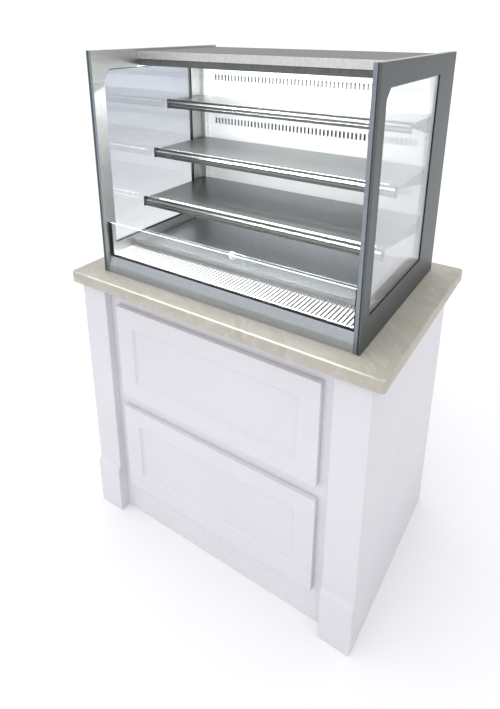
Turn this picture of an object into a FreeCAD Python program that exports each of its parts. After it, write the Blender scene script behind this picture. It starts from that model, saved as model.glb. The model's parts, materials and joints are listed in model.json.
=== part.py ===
"""Refrigerated deli case on a panelled counter cabinet.

The origin is on the floor at the centre of the countertop's footprint. +Z is up, -Y is the
customer's side and +X is the customer's right. All sizes are in millimetres.
"""
import FreeCAD, Part
import Sketcher
import math
import os
import re

doc = FreeCAD.newDocument("refrigerated_deli_case")

SIZES = {
    # countertop slab
    "counterHeight": 1060, "slabThick": 40, "slabWidth": 1200, "slabDepth": 820,
    "slabCorner": 14, "slabEase": 3, "cutoutWidth": 912, "cutoutFront": -304, "cutoutBack": 306,
    # base cabinet
    "cabinetWidth": 1130, "cabinetFront": -390, "cabinetBack": 340, "boardThick": 20,
    "pilasterWidth": 113, "pilasterDepth": 48, "frontRecess": 30,
    "plinthTall": 218, "plinthProud": 12,
    "panelWidth": 820, "panelThick": 20, "panelSink": 8, "panelBorder": 72,
    "upperPanelLow": 585, "upperPanelTall": 376, "lowerPanelLow": 149, "lowerPanelTall": 382,
    "floorLow": 60, "doorwayWidth": 970, "doorwayLow": 90, "doorwayTall": 840,
    # service doors
    "doorThick": 18, "doorWide": 495.5, "doorTall": 864, "doorLow": 78, "doorOff": 1,
    "doorMeeting": 1.5, "doorBorder": 60, "doorSink": 5,
    "louvreWide": 320, "louvreTall": 7, "louvrePitch": 24, "louvreCount": 12, "louvreLow": 170,
    "hingeOut": 504.5, "hingeLow": 190, "hingeHigh": 830, "hingeTall": 70, "knuckle": 6,
    "hingePin": 2.5, "hingeFit": 0.06, "hingeLeaf": 2, "hingeGap": 0.3, "webHalf": 3,
    "fixedLeafWide": 33, "movingLeafWide": 40,
    "pullOut": 28, "pullBar": 5, "pullLow": 460, "pullTall": 160, "pullInset": 40, "pullPostIn": 16,
    # refrigerated well under the slab
    "wellWidth": 896, "wellFront": -296, "wellDepth": 592, "wellLow": 700, "wellSkin": 2,
    "wellWall": 40, "wellFlange": 16, "drainAcross": 300, "drainBack": 150,
    "drainRadius": 16, "drainBore": 12.5, "drainDrop": 40, "collarWide": 12, "collarThick": 4,
    # display case above the slab
    "caseWidth": 1000, "caseDepth": 676, "caseHeight": 780, "caseFront": -336,
    "frameThick": 22, "windowFront": 50, "windowBack": 508, "windowLow": 100, "windowHigh": 718,
    "windowCutDeep": 25, "windowCutTall": 30, "grooveWide": 3, "grooveDeep": 3,
    "paneThick": 4, "paneLap": 9, "paneFit": 0.2, "spacerWide": 8, "spacerSight": 3,
    "apronTall": 60, "apronSheet": 2, "apronCrease": 30, "apronLean": 11, "apronBack": 2,
    "apronFlange": 40, "apronFoot": 14,
    "guardThick": 6, "guardTop": 188, "guardBack": 20, "guardFit": 0.2,
    "channelWall": 3, "channelLip": 5, "channelEnd": 8, "channelProud": 2,
    "hoodFront": 210, "hoodTop": 772, "hoodFascia": 27, "hoodSheet": 2, "hoodLip": 16,
    "valanceBack": 3.5, "valanceDrop": 22, "valanceSheet": 2,
    "outletBack": 18, "outletDeep": 26, "outletTall": 16, "outletRim": 3, "outletEnd": 5,
    "cellWide": 10, "cellPitch": 12, "cellCount": 79,
    "rearWall": 586, "rearPanelThick": 36, "panelSkin": 1.2, "liningInset": 62,
    "screwRadius": 5, "screwHead": 2.5,
    "ductSheet": 2, "ductFit": 0.5, "ductFoot": 4, "ductHalf": 420, "ductSlotUp": 60,
    "ductSlotWide": 8, "ductSlotTall": 24, "ductSlotPitch": 16, "ductSlotCount": 53,
    "postWide": 24, "postDeep": 12, "postLow": 66, "postTop": 736, "postInner": 440,
    "postSlotWide": 4, "postSlotTall": 16, "postSlotIn": 10, "postSlotUp": 14,
    "postSlotPitch": 26, "postSlotCount": 25,
    # shelves, counted upward from the deck
    "shelfBack": 584, "shelfSheet": 1.5, "shelfLip": 24, "shelfHalf": 470,
    "lowShelfHigh": 235, "midShelfHigh": 410, "topShelfHigh": 585,
    "lowShelfDeep": 370, "midShelfDeep": 300, "topShelfDeep": 215,
    "slotPitch": 10, "slotWide": 5, "slotBack": 8, "slotDeep": 22, "shelfSlots": 92,
    "armThick": 3, "armOut": 450.5, "armTall": 62, "armNeck": 26, "armTip": 16, "armShort": 40,
    "railDeep": 10, "railDrop": 28, "railRise": 5, "railEdge": 3, "railEase": 8,
    "capWide": 6, "capDeep": 12, "capDrop": 30, "capTall": 37,
    "stripHalf": 430, "stripBack": 32, "stripDeep": 7.5, "stripTall": 9,
    "canopyHalf": 440, "canopyBack": 45, "canopyDeep": 16, "canopyTall": 20, "canopyDrop": 26,
    # deck
    "deckHigh": 62, "deckBarTall": 38, "deckHalf": 474, "deckBarDeep": 22, "deckFront": 134,
    "grilleSheet": 2, "grilleEnd": 1, "grilleRim": 10, "grilleGap": 7,
    "grillePitch": 14, "grilleSlotWide": 6.5, "grilleSlots": 66,
    "stopTop": 132, "stopThick": 2, "stopRailTall": 44, "stopRailDeep": 12, "stopSlotUp": 22,
    "panWide": 473, "panSheet": 1.5, "panGap": 15, "panBack": 14, "stopWide": 502, "stopLap": 30,
    # fans and condensing unit
    "coolFanRadius": 92, "coolFanHigh": 902, "coolFanApart": 190, "coolFanPlate": -40,
    "hubRadius": 26, "shaftRadius": 4, "shaftFit": 0.06, "bladeSheet": 1.6, "bladeRoot": 4,
    "motorRadius": 30, "motorLong": 48, "motorBack": 62, "strapHalf": 110, "strapBack": 20,
    "strapSheet": 3, "strapTall": 16, "footWide": 8,
    "unitLow": 80, "unitHalf": 330, "unitDeepHalf": 190, "trayTall": 24, "traySheet": 2,
    "warmFanRadius": 125, "warmFanHigh": 275,
    "shroudLeft": 206, "shroudWide": 42, "shroudHalf": 160, "shroudTall": 330,
    "canAcross": -175, "canRadius": 98, "canTall": 210, "canRound": 34, "canLift": 44,
    "canPlateWide": 200, "canPlateDeep": 140, "canPlateThick": 6, "canFootRadius": 13,
    # rear controls
    "controlWide": 240, "controlTall": 80, "controlDeep": 38, "controlLeft": 180, "controlLow": 1090,
    "controlEase": 3, "controlAxis": 40,
    "knobRadius": 18, "knobAcross": 130, "knobDeep": 14, "knobGap": 0.4, "gripWide": 6, "gripDeep": 11,
    "rockerWide": 21.4, "rockerTall": 26, "rockerThick": 12, "rockerTilt": -7,
    "rockerLeft": 179.3, "rockerSink": 10, "rockerFit": 0.6, "pivotSink": 6, "pivotRadius": 1.5,
    "windowLeft": 20, "windowUp": 22, "windowWide": 72, "windowTall": 36, "windowSink": 1.5,
    "inletLeft": 497, "inletUp": 24, "inletWide": 40, "inletTall": 30, "inletDeep": 9, "inletWall": 5,
}

sheet = doc.addObject("Spreadsheet::Sheet", "Dims")
for row, (alias, size) in enumerate(SIZES.items(), start=1):
    sheet.set(f"A{row}", alias)
    sheet.set(f"B{row}", str(size))
    sheet.setAlias(f"B{row}", alias)
doc.recompute()

parts = {}
NORMAL = {"XY_Plane": "z", "XZ_Plane": "y", "YZ_Plane": "x"}


# ---- small helpers ---------------------------------------------------------------------------

def formula(text):
    """Put the sheet's name before every alias in a formula."""
    def named(match):
        word = match.group(0)
        return f"Dims.{word}" if word in SIZES else word
    return re.sub(r"[A-Za-z]+", named, str(text))


def bind(thing, prop, text):
    thing.setExpression(prop, formula(text))


def place(thing, at):
    for axis, text in zip("xyz", at):
        bind(thing, f".Placement.Base.{axis}", text)


def turn(thing, axis, degrees):
    thing.Placement = FreeCAD.Placement(FreeCAD.Vector(), FreeCAD.Rotation(FreeCAD.Vector(*axis), degrees))


def keep(label, thing):
    """Name a finished sub-part."""
    thing.Label = label
    parts[label] = thing
    return thing


def block(name, at, size):
    solid = doc.addObject("Part::Box", name)
    for prop, text in zip(("Length", "Width", "Height"), size):
        bind(solid, prop, text)
    place(solid, at)
    return solid


def rod(name, at, radius, length, along="z"):
    solid = doc.addObject("Part::Cylinder", name)
    if along == "x":
        turn(solid, (0, 1, 0), 90)
    if along == "y":
        turn(solid, (1, 0, 0), -90)
    bind(solid, "Radius", radius)
    bind(solid, "Height", length)
    place(solid, at)
    return solid


def cut(name, base, tool):
    solid = doc.addObject("Part::Cut", name)
    solid.Base = base
    solid.Tool = tool
    return solid


def fuse(name, members):
    solid = doc.addObject("Part::MultiFuse", name)
    solid.Shapes = members
    solid.Refine = True
    return solid


def group(name, members):
    """Separate solids kept together in one sub-part."""
    bundle = doc.addObject("Part::Compound", name)
    bundle.Links = members
    return bundle


def originFeature(body, role):
    return next(item for item in body.Origin.OriginFeatures if item.Role == role)


def closeLoop(sketch, corners):
    """Add one closed outline whose corners are bound to formulas."""
    first = sketch.GeometryCount
    count = len(corners)
    rough = [FreeCAD.Vector(math.cos(2 * math.pi * k / count), math.sin(2 * math.pi * k / count), 0)
             for k in range(count)]
    for k in range(count):
        sketch.addGeometry(Part.LineSegment(rough[k], rough[(k + 1) % count]), False)
    for k in range(count):
        sketch.addConstraint(Sketcher.Constraint("Coincident", first + k, 2, first + (k + 1) % count, 1))
    for k, corner in enumerate(corners):
        for kind, text, value in zip(("DistanceX", "DistanceY"), corner, rough[k]):
            index = sketch.addConstraint(Sketcher.Constraint(kind, -1, 1, first + k, 1, value))
            bind(sketch, f"Constraints[{index}]", text)


def ring(sketch, centre, radius):
    """Add one circle bound to formulas."""
    index = sketch.addGeometry(Part.Circle(FreeCAD.Vector(1, 1, 0), FreeCAD.Vector(0, 0, 1), 1), False)
    for kind, text in zip(("DistanceX", "DistanceY"), centre):
        number = sketch.addConstraint(Sketcher.Constraint(kind, -1, 1, index, 3, 1))
        bind(sketch, f"Constraints[{number}]", text)
    number = sketch.addConstraint(Sketcher.Constraint("Radius", index, 1))
    bind(sketch, f"Constraints[{number}]", radius)


def rectangle(left, low, right, high):
    return [(left, low), (right, low), (right, high), (left, high)]


def draw(body, plane, loops, circles=()):
    sketch = body.newObject("Sketcher::SketchObject", body.Name + "_sketch")
    sketch.AttachmentSupport = [(originFeature(body, plane), "")]
    sketch.MapMode = "FlatFace"
    for loop in loops:
        closeLoop(sketch, loop)
    for centre, radius in circles:
        ring(sketch, centre, radius)
    return sketch


def extrude(name, plane, loops, start, length, circles=(), toFront=False):
    """Pad outlines into a body that starts at a place on its plane's axis.

    The pad grows towards +X, +Y or +Z; toFront makes one on the XZ plane grow towards -Y.
    """
    body = doc.addObject("PartDesign::Body", name)
    pad = body.newObject("PartDesign::Pad", name + "_pad")
    pad.Profile = draw(body, plane, loops, circles)
    pad.Reversed = plane == "XZ_Plane" and not toFront
    bind(pad, "Length", length)
    bind(body, ".Placement.Base." + NORMAL[plane], start)
    return body


def pocket(body, plane, loops, depth=None, circles=(), flip=False):
    """Cut outlines out of a body, to a depth or right through it."""
    hole = body.newObject("PartDesign::Pocket", body.Name + "_pocket")
    hole.Profile = draw(body, plane, loops, circles)
    if depth is None:
        hole.Type = 1
        hole.Midplane = True
    else:
        bind(hole, "Length", depth)
        hole.Reversed = flip
    return hole


def repeat(body, feature, axis, pitch, count):
    pattern = body.newObject("PartDesign::LinearPattern", body.Name + "_pattern")
    pattern.Originals = [feature]
    pattern.Direction = (originFeature(body, axis), [""])
    bind(pattern, "Length", f"({pitch}) * ({count} - 1)")
    bind(pattern, "Occurrences", count)
    body.Tip = pattern
    return pattern


def edgesWhere(shape, test):
    return [f"Edge{number}" for number, edge in enumerate(shape.Edges, start=1) if test(edge)]


def dress(body, kind, size, test):
    """Fillet or chamfer the edges of a body's last feature that pass a test."""
    doc.recompute()
    base = body.Tip
    feature = body.newObject("PartDesign::" + kind, body.Name + "_" + kind.lower())
    feature.Base = (base, edgesWhere(base.Shape, test))
    bind(feature, "Radius" if kind == "Fillet" else "Size", size)
    return feature


def value(alias):
    return float(sheet.get(alias))


def isUpright(edge):
    low, high = edge.Vertexes[0].Point, edge.Vertexes[-1].Point
    return abs(low.x - high.x) + abs(low.y - high.y) < 0.01 and abs(low.z - high.z) > 1


# ---- countertop and base cabinet -------------------------------------------------------------

def countertop():
    """Slab with rounded corners, an eased top edge and the drop-in cut-out."""
    outer = rectangle("-slabWidth/2", "-slabDepth/2", "slabWidth/2", "slabDepth/2")
    inner = rectangle("-cutoutWidth/2", "cutoutFront", "cutoutWidth/2", "cutoutBack")
    slab = extrude("countertop", "XY_Plane", [outer, inner], "counterHeight - slabThick", "slabThick")
    reach = value("slabWidth") / 2 - 1
    dress(slab, "Fillet", "slabCorner",
          lambda edge: isUpright(edge) and abs(edge.CenterOfMass.x) > reach)
    top = value("slabThick") - 0.1
    rim = value("cutoutWidth") / 2 + 1
    outerRim = value("slabDepth") / 2 - value("slabCorner") - 1

    def onOuterRim(edge):
        middle = edge.CenterOfMass
        isOutside = abs(middle.x) > rim or abs(middle.y) > outerRim
        return middle.z > top and isOutside

    dress(slab, "Fillet", "slabEase", onOuterRim)
    keep("countertop", slab)


def cabinetSides():
    for side, left in (("left", "-cabinetWidth/2"), ("right", "cabinetWidth/2 - boardThick")):
        panel = block(f"cabinet_side_{side}", (left, "cabinetFront + pilasterDepth", "0"),
                      ("boardThick", "cabinetBack - cabinetFront - pilasterDepth",
                       "counterHeight - slabThick"))
        keep(f"cabinet_side_{side}", panel)


def pilasters():
    """Square posts proud of the recessed board, each with a sloping-topped foot block on its front."""
    slope = [("cabinetFront - plinthProud", "0"), ("cabinetFront", "0"), ("cabinetFront", "plinthTall"),
             ("cabinetFront - plinthProud", "plinthTall - plinthProud")]
    for side, left in (("left", "-cabinetWidth/2"), ("right", "cabinetWidth/2 - pilasterWidth")):
        post = block(f"post_{side}", (left, "cabinetFront", "0"),
                     ("pilasterWidth", "pilasterDepth", "counterHeight - slabThick"))
        foot = extrude(f"plinth_block_{side}", "YZ_Plane", [slope], left, "pilasterWidth")
        keep(f"pilaster_{side}", group(f"pilaster_{side}", [post, foot]))


def frontBoard():
    board = block("front_board",
                  ("-cabinetWidth/2 + pilasterWidth", "cabinetFront + frontRecess", "0"),
                  ("cabinetWidth - 2*pilasterWidth", "pilasterDepth - frontRecess",
                   "counterHeight - slabThick"))
    keep("front_board", board)


def frontPanel(label, low, tall):
    """Framed panel with a sunk, bevelled centre."""
    outer = rectangle("-panelWidth/2", low, "panelWidth/2", f"{low} + {tall}")
    panel = extrude(label, "XZ_Plane", [outer], "cabinetFront + frontRecess - panelThick", "panelThick")
    sunk = rectangle("-panelWidth/2 + panelBorder", f"{low} + panelBorder",
                     "panelWidth/2 - panelBorder", f"{low} + {tall} - panelBorder")
    pocket(panel, "XZ_Plane", [sunk], "panelSink")
    keep(label, panel)


def cabinetFloor():
    board = block("cabinet_floor",
                  ("-cabinetWidth/2 + boardThick", "cabinetFront + pilasterDepth", "floorLow"),
                  ("cabinetWidth - 2*boardThick", "cabinetBack - cabinetFront - pilasterDepth - doorThick",
                   "boardThick"))
    keep("cabinet_floor", board)


def backFrame():
    outer = rectangle("-cabinetWidth/2 + boardThick", "0", "cabinetWidth/2 - boardThick",
                      "counterHeight - slabThick")
    opening = rectangle("-doorwayWidth/2", "doorwayLow", "doorwayWidth/2", "doorwayLow + doorwayTall")
    frame = extrude("cabinet_back_frame", "XZ_Plane", [outer, opening], "cabinetBack - doorThick",
                    "doorThick")
    keep("cabinet_back_frame", frame)


# ---- service doors ---------------------------------------------------------------------------

def serviceDoor(side, sign):
    """Framed door with a bank of louvre slots, hung on the back frame."""
    near, far = f"{sign}*doorMeeting", f"{sign}*(doorMeeting + doorWide)"
    left, right = (near, far) if sign > 0 else (far, near)
    outer = rectangle(left, "doorLow", right, "doorLow + doorTall")
    face = "cabinetBack + doorOff + doorThick"
    door = extrude(f"cabinet_door_{side}", "XZ_Plane", [outer], face, "doorThick", toFront=True)
    sunk = rectangle(f"{left} + doorBorder", "doorLow + doorBorder", f"{right} - doorBorder",
                     "doorLow + doorTall - doorBorder")
    pocket(door, "XZ_Plane", [sunk], "doorSink", flip=True)
    middle = f"{sign}*(doorMeeting + doorWide/2)"
    slot = rectangle(f"{middle} - louvreWide/2", "louvreLow", f"{middle} + louvreWide/2",
                     "louvreLow + louvreTall")
    louvre = pocket(door, "XZ_Plane", [slot])
    repeat(door, louvre, "Z_Axis", "louvrePitch", "louvreCount")
    keep(f"cabinet_door_{side}", door)


def doorPull(side, sign):
    """Round bar on two posts, near the meeting edge."""
    centre = f"{sign}*(doorMeeting + pullInset)"
    face = "cabinetBack + doorOff + doorThick"
    bar = rod(f"pull_bar_{side}", (centre, f"{face} + pullOut - pullBar", "pullLow"), "pullBar", "pullTall")
    ends = (("low", "pullLow + pullPostIn"), ("high", "pullLow + pullTall - pullPostIn"))
    posts = [rod(f"pull_post_{side}_{end}", (centre, face, height), "pullBar*0.8", "pullOut - pullBar", "y")
             for end, height in ends]
    keep(f"door_pull_{side}", fuse(f"door_pull_{side}", [bar] + posts))


def hingeHeights():
    return (("low", "hingeLow"), ("high", "hingeHigh"))


def frameLeaves():
    """Fixed hinge leaves with their pins, screwed to the back frame."""
    leaves = []
    for side, sign in (("left", -1), ("right", 1)):
        axis = (f"{sign}*hingeOut", "cabinetBack + doorOff + doorThick/2")
        for level, height in hingeHeights():
            tag = f"{side}_{level}"
            lower = rod(f"fixed_knuckle_{tag}", (*axis, height), "knuckle", "hingeTall/2 - hingeGap")
            pin = rod(f"hinge_pin_{tag}", (*axis, height), "hingePin", "hingeTall + 2")
            outside = "hingeOut - webHalf" if sign > 0 else "-hingeOut + webHalf - fixedLeafWide"
            leaf = block(f"fixed_leaf_{tag}", (outside, "cabinetBack", height),
                         ("fixedLeafWide", "hingeLeaf", "hingeTall"))
            web = block(f"fixed_web_{tag}", (f"{axis[0]} - webHalf", "cabinetBack", height),
                        ("2*webHalf", "doorOff + doorThick/2", "hingeTall/2 - hingeGap"))
            leaves.append(fuse(f"fixed_hinge_{tag}", [lower, pin, leaf, web]))
    keep("hinge_frame_leaves", group("hinge_frame_leaves", leaves))


def doorLeaves(side, sign):
    """Hinge leaves that turn with one door."""
    face = "cabinetBack + doorOff + doorThick"
    axis = (f"{sign}*hingeOut", "cabinetBack + doorOff + doorThick/2")
    leaves = []
    for level, height in hingeHeights():
        tag = f"{side}_{level}"
        upper = rod(f"moving_knuckle_{tag}", (*axis, f"{height} + hingeTall/2"), "knuckle", "hingeTall/2")
        web = block(f"moving_web_{tag}", (f"{axis[0]} - webHalf", axis[1], f"{height} + hingeTall/2"),
                    ("2*webHalf", "doorThick/2 + hingeLeaf", "hingeTall/2"))
        start = f"{axis[0]} + webHalf - movingLeafWide" if sign > 0 else f"{axis[0]} - webHalf"
        leaf = block(f"moving_leaf_{tag}", (start, face, f"{height} + hingeTall/2"),
                     ("movingLeafWide", "hingeLeaf", "hingeTall/2"))
        solid = fuse(f"moving_hinge_solid_{tag}", [upper, web, leaf])
        bore = rod(f"moving_bore_{tag}", (*axis, f"{height} - 1"), "hingePin + hingeFit", "hingeTall + 5")
        leaves.append(cut(f"moving_hinge_{tag}", solid, bore))
    keep(f"hinge_door_leaves_{side}", group(f"hinge_door_leaves_{side}", leaves))


# ---- refrigerated well -----------------------------------------------------------------------

def openBox(name, inset, low, top, wall):
    """Open-topped box with an even wall, inset from the well's outside."""
    outer = block(name + "_outer", (f"-wellWidth/2 + {inset}", f"wellFront + {inset}", low),
                  (f"wellWidth - 2*({inset})", f"wellDepth - 2*({inset})", f"{top} - ({low})"))
    inner = block(name + "_inner",
                  (f"-wellWidth/2 + {inset} + {wall}", f"wellFront + {inset} + {wall}", f"{low} + {wall}"),
                  (f"wellWidth - 2*({inset} + {wall})", f"wellDepth - 2*({inset} + {wall})",
                   f"{top} - ({low})"))
    return cut(name, outer, inner)


def drainRod(name, low, radius, length):
    """Upright rod on the drain's axis."""
    return rod(name, ("drainAcross", "drainBack", low), radius, length)


def wellShell():
    """Outer skin with the drain pipe brazed in; the pipe reaches up to the liner."""
    skin = openBox("well_skin", "0", "wellLow", "counterHeight", "wellSkin")
    length = "drainDrop + wellWall - wellSkin"
    pipe = drainRod("drain_pipe", "wellLow - drainDrop", "drainRadius", length)
    collar = drainRod("drain_collar", "wellLow - collarThick", "drainRadius + collarWide", "collarThick")
    hole = drainRod("drain_pipe_bore", "wellLow - drainDrop", "drainBore", length)
    keep("well_shell", cut("well_shell", fuse("well_skin_solid", [skin, pipe, collar]), hole))


def wellLiner():
    """Inner tub with a flange that hangs on the slab."""
    tub = openBox("well_liner_tub", "wellWall - wellSkin", "wellLow + wellWall - wellSkin",
                  "counterHeight + wellSkin", "wellSkin")
    flangeOuter = block("well_flange_outer", ("-wellWidth/2 - wellFlange", "wellFront - wellFlange",
                                              "counterHeight"),
                        ("wellWidth + 2*wellFlange", "wellDepth + 2*wellFlange", "wellSkin"))
    flangeInner = block("well_flange_inner", ("-wellWidth/2 + wellWall", "wellFront + wellWall",
                                              "counterHeight - 1"),
                        ("wellWidth - 2*wellWall", "wellDepth - 2*wellWall", "wellSkin + 2"))
    flange = cut("well_flange", flangeOuter, flangeInner)
    hole = drainRod("liner_drain_hole", "wellLow + wellWall - wellSkin", "drainBore", "wellSkin")
    keep("well_liner", cut("well_liner", fuse("well_liner_solid", [tub, flange]), hole))


# ---- display case ----------------------------------------------------------------------------

def windowLoop(grow="0"):
    """Window outline with a cut corner at the top front, in the YZ plane."""
    front, back = f"caseFront + windowFront - ({grow})", f"caseFront + windowBack + {grow}"
    low, high = f"counterHeight + windowLow - ({grow})", f"counterHeight + windowHigh + {grow}"
    return [(front, low), (back, low), (back, high), (f"{front} + windowCutDeep", high),
            (front, f"{high} - windowCutTall")]


def endFrame(side, sign):
    """Flat stainless frame with a grooved front edge and a rebate for the glass."""
    start = "caseWidth/2 - frameThick" if sign > 0 else "-caseWidth/2"
    outer = rectangle("caseFront", "counterHeight", "caseFront + caseDepth", "counterHeight + caseHeight")
    frame = extrude(f"end_frame_{side}", "YZ_Plane", [outer, windowLoop()], start, "frameThick")
    grooveLeft = "frameThick*0.55" if sign > 0 else "frameThick*0.45 - grooveWide"
    groove = rectangle(grooveLeft, "caseFront - 1", f"{grooveLeft} + grooveWide", "caseFront + grooveDeep")
    pocket(frame, "XY_Plane", [groove])
    rebate = pocket(frame, "YZ_Plane", [windowLoop("paneLap")], "spacerWide + 2*paneThick", flip=True)
    rebate.Profile[0].AttachmentOffset = FreeCAD.Placement(
        FreeCAD.Vector(0, 0, (value("frameThick") - value("spacerWide") - 2 * value("paneThick")) / 2),
        FreeCAD.Rotation())
    keep(f"end_frame_{side}", frame)


def endGlass():
    """Two sheets of glass in each end frame, one at each face of the dark spacer."""
    panes = []
    for side, sign in (("left", -1), ("right", 1)):
        middle = f"{sign}*(caseWidth/2 - frameThick/2)"
        for level, start in (("high", f"{middle} + spacerWide/2"),
                             ("low", f"{middle} - spacerWide/2 - paneThick")):
            panes.append(extrude(f"pane_{side}_{level}", "YZ_Plane", [windowLoop("paneLap - paneFit")],
                                 start, "paneThick"))
    keep("end_glass", group("end_glass", panes))


def endGlassSpacers():
    spacers = []
    for side, sign in (("left", -1), ("right", 1)):
        start = f"{sign}*(caseWidth/2 - frameThick/2) - spacerWide/2"
        loops = [windowLoop("paneLap - paneFit"), windowLoop("-spacerSight")]
        spacers.append(extrude(f"spacer_{side}", "YZ_Plane", loops, start, "spacerWide"))
    keep("end_glass_spacers", group("end_glass_spacers", spacers))


def frontApron():
    """Folded stainless skirt with a crease and a return flange at its top."""
    front, top = "caseFront + apronBack", "counterHeight + apronTall"
    crease = "counterHeight + apronCrease"
    profile = [(front, "counterHeight"), (f"{front} + 1", crease), (f"{front} + apronLean", top),
               (f"{front} + apronFlange", top), (f"{front} + apronFlange", f"{top} - apronSheet"),
               (f"{front} + apronLean + apronSheet", f"{top} - apronSheet"),
               (f"{front} + 1 + apronSheet", crease),
               (f"{front} + apronSheet", "counterHeight + apronSheet"),
               (f"{front} + apronFoot", "counterHeight + apronSheet"),
               (f"{front} + apronFoot", "counterHeight")]
    apron = extrude("front_apron", "YZ_Plane", [profile], "-caseWidth/2 + frameThick",
                    "caseWidth - 2*frameThick")
    keep("front_apron", apron)


def guardChannel():
    """Black U-shaped glazing channel along the bottom and both ends of the front glass."""
    edge = "caseWidth/2 - frameThick"
    low, high = "counterHeight + apronTall", "counterHeight + guardTop + channelProud"
    outline = [(f"-({edge})", low), (edge, low), (edge, high), (f"{edge} - channelEnd", high),
               (f"{edge} - channelEnd", f"{low} + channelLip"),
               (f"-({edge}) + channelEnd", f"{low} + channelLip"),
               (f"-({edge}) + channelEnd", high), (f"-({edge})", high)]
    start = "caseFront + guardBack - guardThick/2 - channelWall"
    channel = extrude("guard_channel", "XZ_Plane", [outline], start, "guardThick + 2*channelWall")
    slot = block("guard_slot",
                 (f"-({edge}) + channelWall", "caseFront + guardBack - guardThick/2", f"{low} + channelWall"),
                 (f"2*({edge} - channelWall)", "guardThick", "guardTop"))
    keep("guard_channel", cut("guard_channel_cut", channel, slot))


def guardGlass():
    glass = block("front_guard_glass",
                  ("-caseWidth/2 + frameThick + channelWall + guardFit",
                   "caseFront + guardBack - guardThick/2", "counterHeight + apronTall + channelWall"),
                  ("caseWidth - 2*(frameThick + channelWall + guardFit)", "guardThick",
                   "guardTop - apronTall - channelWall"))
    keep("front_guard_glass", glass)


def hoodPanel():
    """Top skin with a folded front fascia and a lower return lip."""
    front, back = "caseFront + hoodFront", "caseFront + caseDepth"
    top, low = "counterHeight + hoodTop", "counterHeight + hoodTop - hoodFascia"
    profile = [(front, low), (f"{front} + hoodLip", low), (f"{front} + hoodLip", f"{low} + hoodSheet"),
               (f"{front} + hoodSheet", f"{low} + hoodSheet"), (f"{front} + hoodSheet", f"{top} - hoodSheet"),
               (back, f"{top} - hoodSheet"), (back, top), (front, top)]
    hood = extrude("hood_panel", "YZ_Plane", [profile], "-caseWidth/2 + frameThick",
                   "caseWidth - 2*frameThick")
    keep("hood_panel", hood)


def canopyValance():
    """Dark strip under the hood's lip that hides the canopy light."""
    low = "counterHeight + hoodTop - hoodFascia"
    strip = block("canopy_valance",
                  ("-caseWidth/2 + frameThick", "caseFront + hoodFront + valanceBack",
                   f"{low} - valanceDrop"),
                  ("caseWidth - 2*frameThick", "valanceSheet", "valanceDrop"))
    keep("canopy_valance", strip)


def hoodUnderside():
    """Folded lining sheet under the hood's foam, behind the air outlet."""
    front, back = "caseFront + hoodFront + liningInset", "caseFront + rearWall"
    low, top = "counterHeight + hoodTop - hoodFascia", "counterHeight + hoodTop - hoodSheet"
    profile = [(front, low), (back, low), (back, f"{low} + panelSkin"),
               (f"{front} + panelSkin", f"{low} + panelSkin"), (f"{front} + panelSkin", top),
               (front, top)]
    lining = extrude("hood_underside", "YZ_Plane", [profile], "-caseWidth/2 + frameThick",
                     "caseWidth - 2*frameThick")
    keep("hood_underside", lining)


def airHoneycomb():
    """Slotted outlet strip that straightens the falling air curtain."""
    left, front = "-caseWidth/2 + frameThick + 1", "caseFront + hoodFront + outletBack"
    strip = rectangle(left, front, "caseWidth/2 - frameThick - 1", f"{front} + outletDeep")
    comb = extrude("air_honeycomb", "XY_Plane", [strip], "counterHeight + hoodTop - hoodFascia",
                   "outletTall")
    cell = rectangle(f"{left} + outletEnd", f"{front} + outletRim", f"{left} + outletEnd + cellWide",
                     f"{front} + outletDeep - outletRim")
    repeat(comb, pocket(comb, "XY_Plane", [cell]), "X_Axis", "cellPitch", "cellCount")
    keep("air_honeycomb", comb)


def rearBlock(name, inset):
    """Block the size of the back panel, less an even inset."""
    low = "counterHeight + wellSkin"
    return block(name,
                 (f"-caseWidth/2 + frameThick + {inset}",
                  f"caseFront + caseDepth - rearPanelThick + {inset}", f"{low} + {inset}"),
                 (f"caseWidth - 2*(frameThick + {inset})", f"rearPanelThick - 2*{inset}",
                  f"hoodTop - hoodSheet - wellSkin - 2*{inset}"))


def backPanel():
    """Sheet skins closed round a foam core."""
    keep("back_panel", cut("back_panel", rearBlock("back_panel_outer", "0"),
                           rearBlock("back_panel_inner", "panelSkin")))


def insulation():
    """Foam between the well's skins, inside the back panel and under the hood."""
    box = openBox("well_foam_box", "wellSkin", "wellLow + wellSkin", "counterHeight", "wellWall - 2*wellSkin")
    well = cut("well_foam", box, drainRod("foam_drain_hole", "wellLow", "drainRadius", "wellWall"))
    rear = rearBlock("back_foam", "panelSkin")
    front = "caseFront + hoodFront + liningInset + panelSkin"
    hood = block("hood_foam",
                 ("-caseWidth/2 + frameThick", front, "counterHeight + hoodTop - hoodFascia + panelSkin"),
                 ("caseWidth - 2*frameThick", f"caseFront + rearWall - ({front})",
                  "hoodFascia - hoodSheet - panelSkin"))
    keep("insulation", group("insulation", [well, rear, hood]))


def backPanelScrews():
    """Pan-head screws round the edge of the back panel."""
    heads = []
    across = ("-460", "-230", "0", "460")
    up = ("counterHeight + 14", "counterHeight + 380", "counterHeight + hoodTop - 18")
    for row, height in enumerate(up):
        for column, centre in enumerate(across):
            if row == 1 and centre in ("-230", "0"):
                continue
            heads.append(rod(f"screw_{row}_{column}", (centre, "caseFront + caseDepth", height),
                             "screwRadius", "screwHead", "y"))
    keep("back_panel_screws", group("back_panel_screws", heads))


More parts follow.
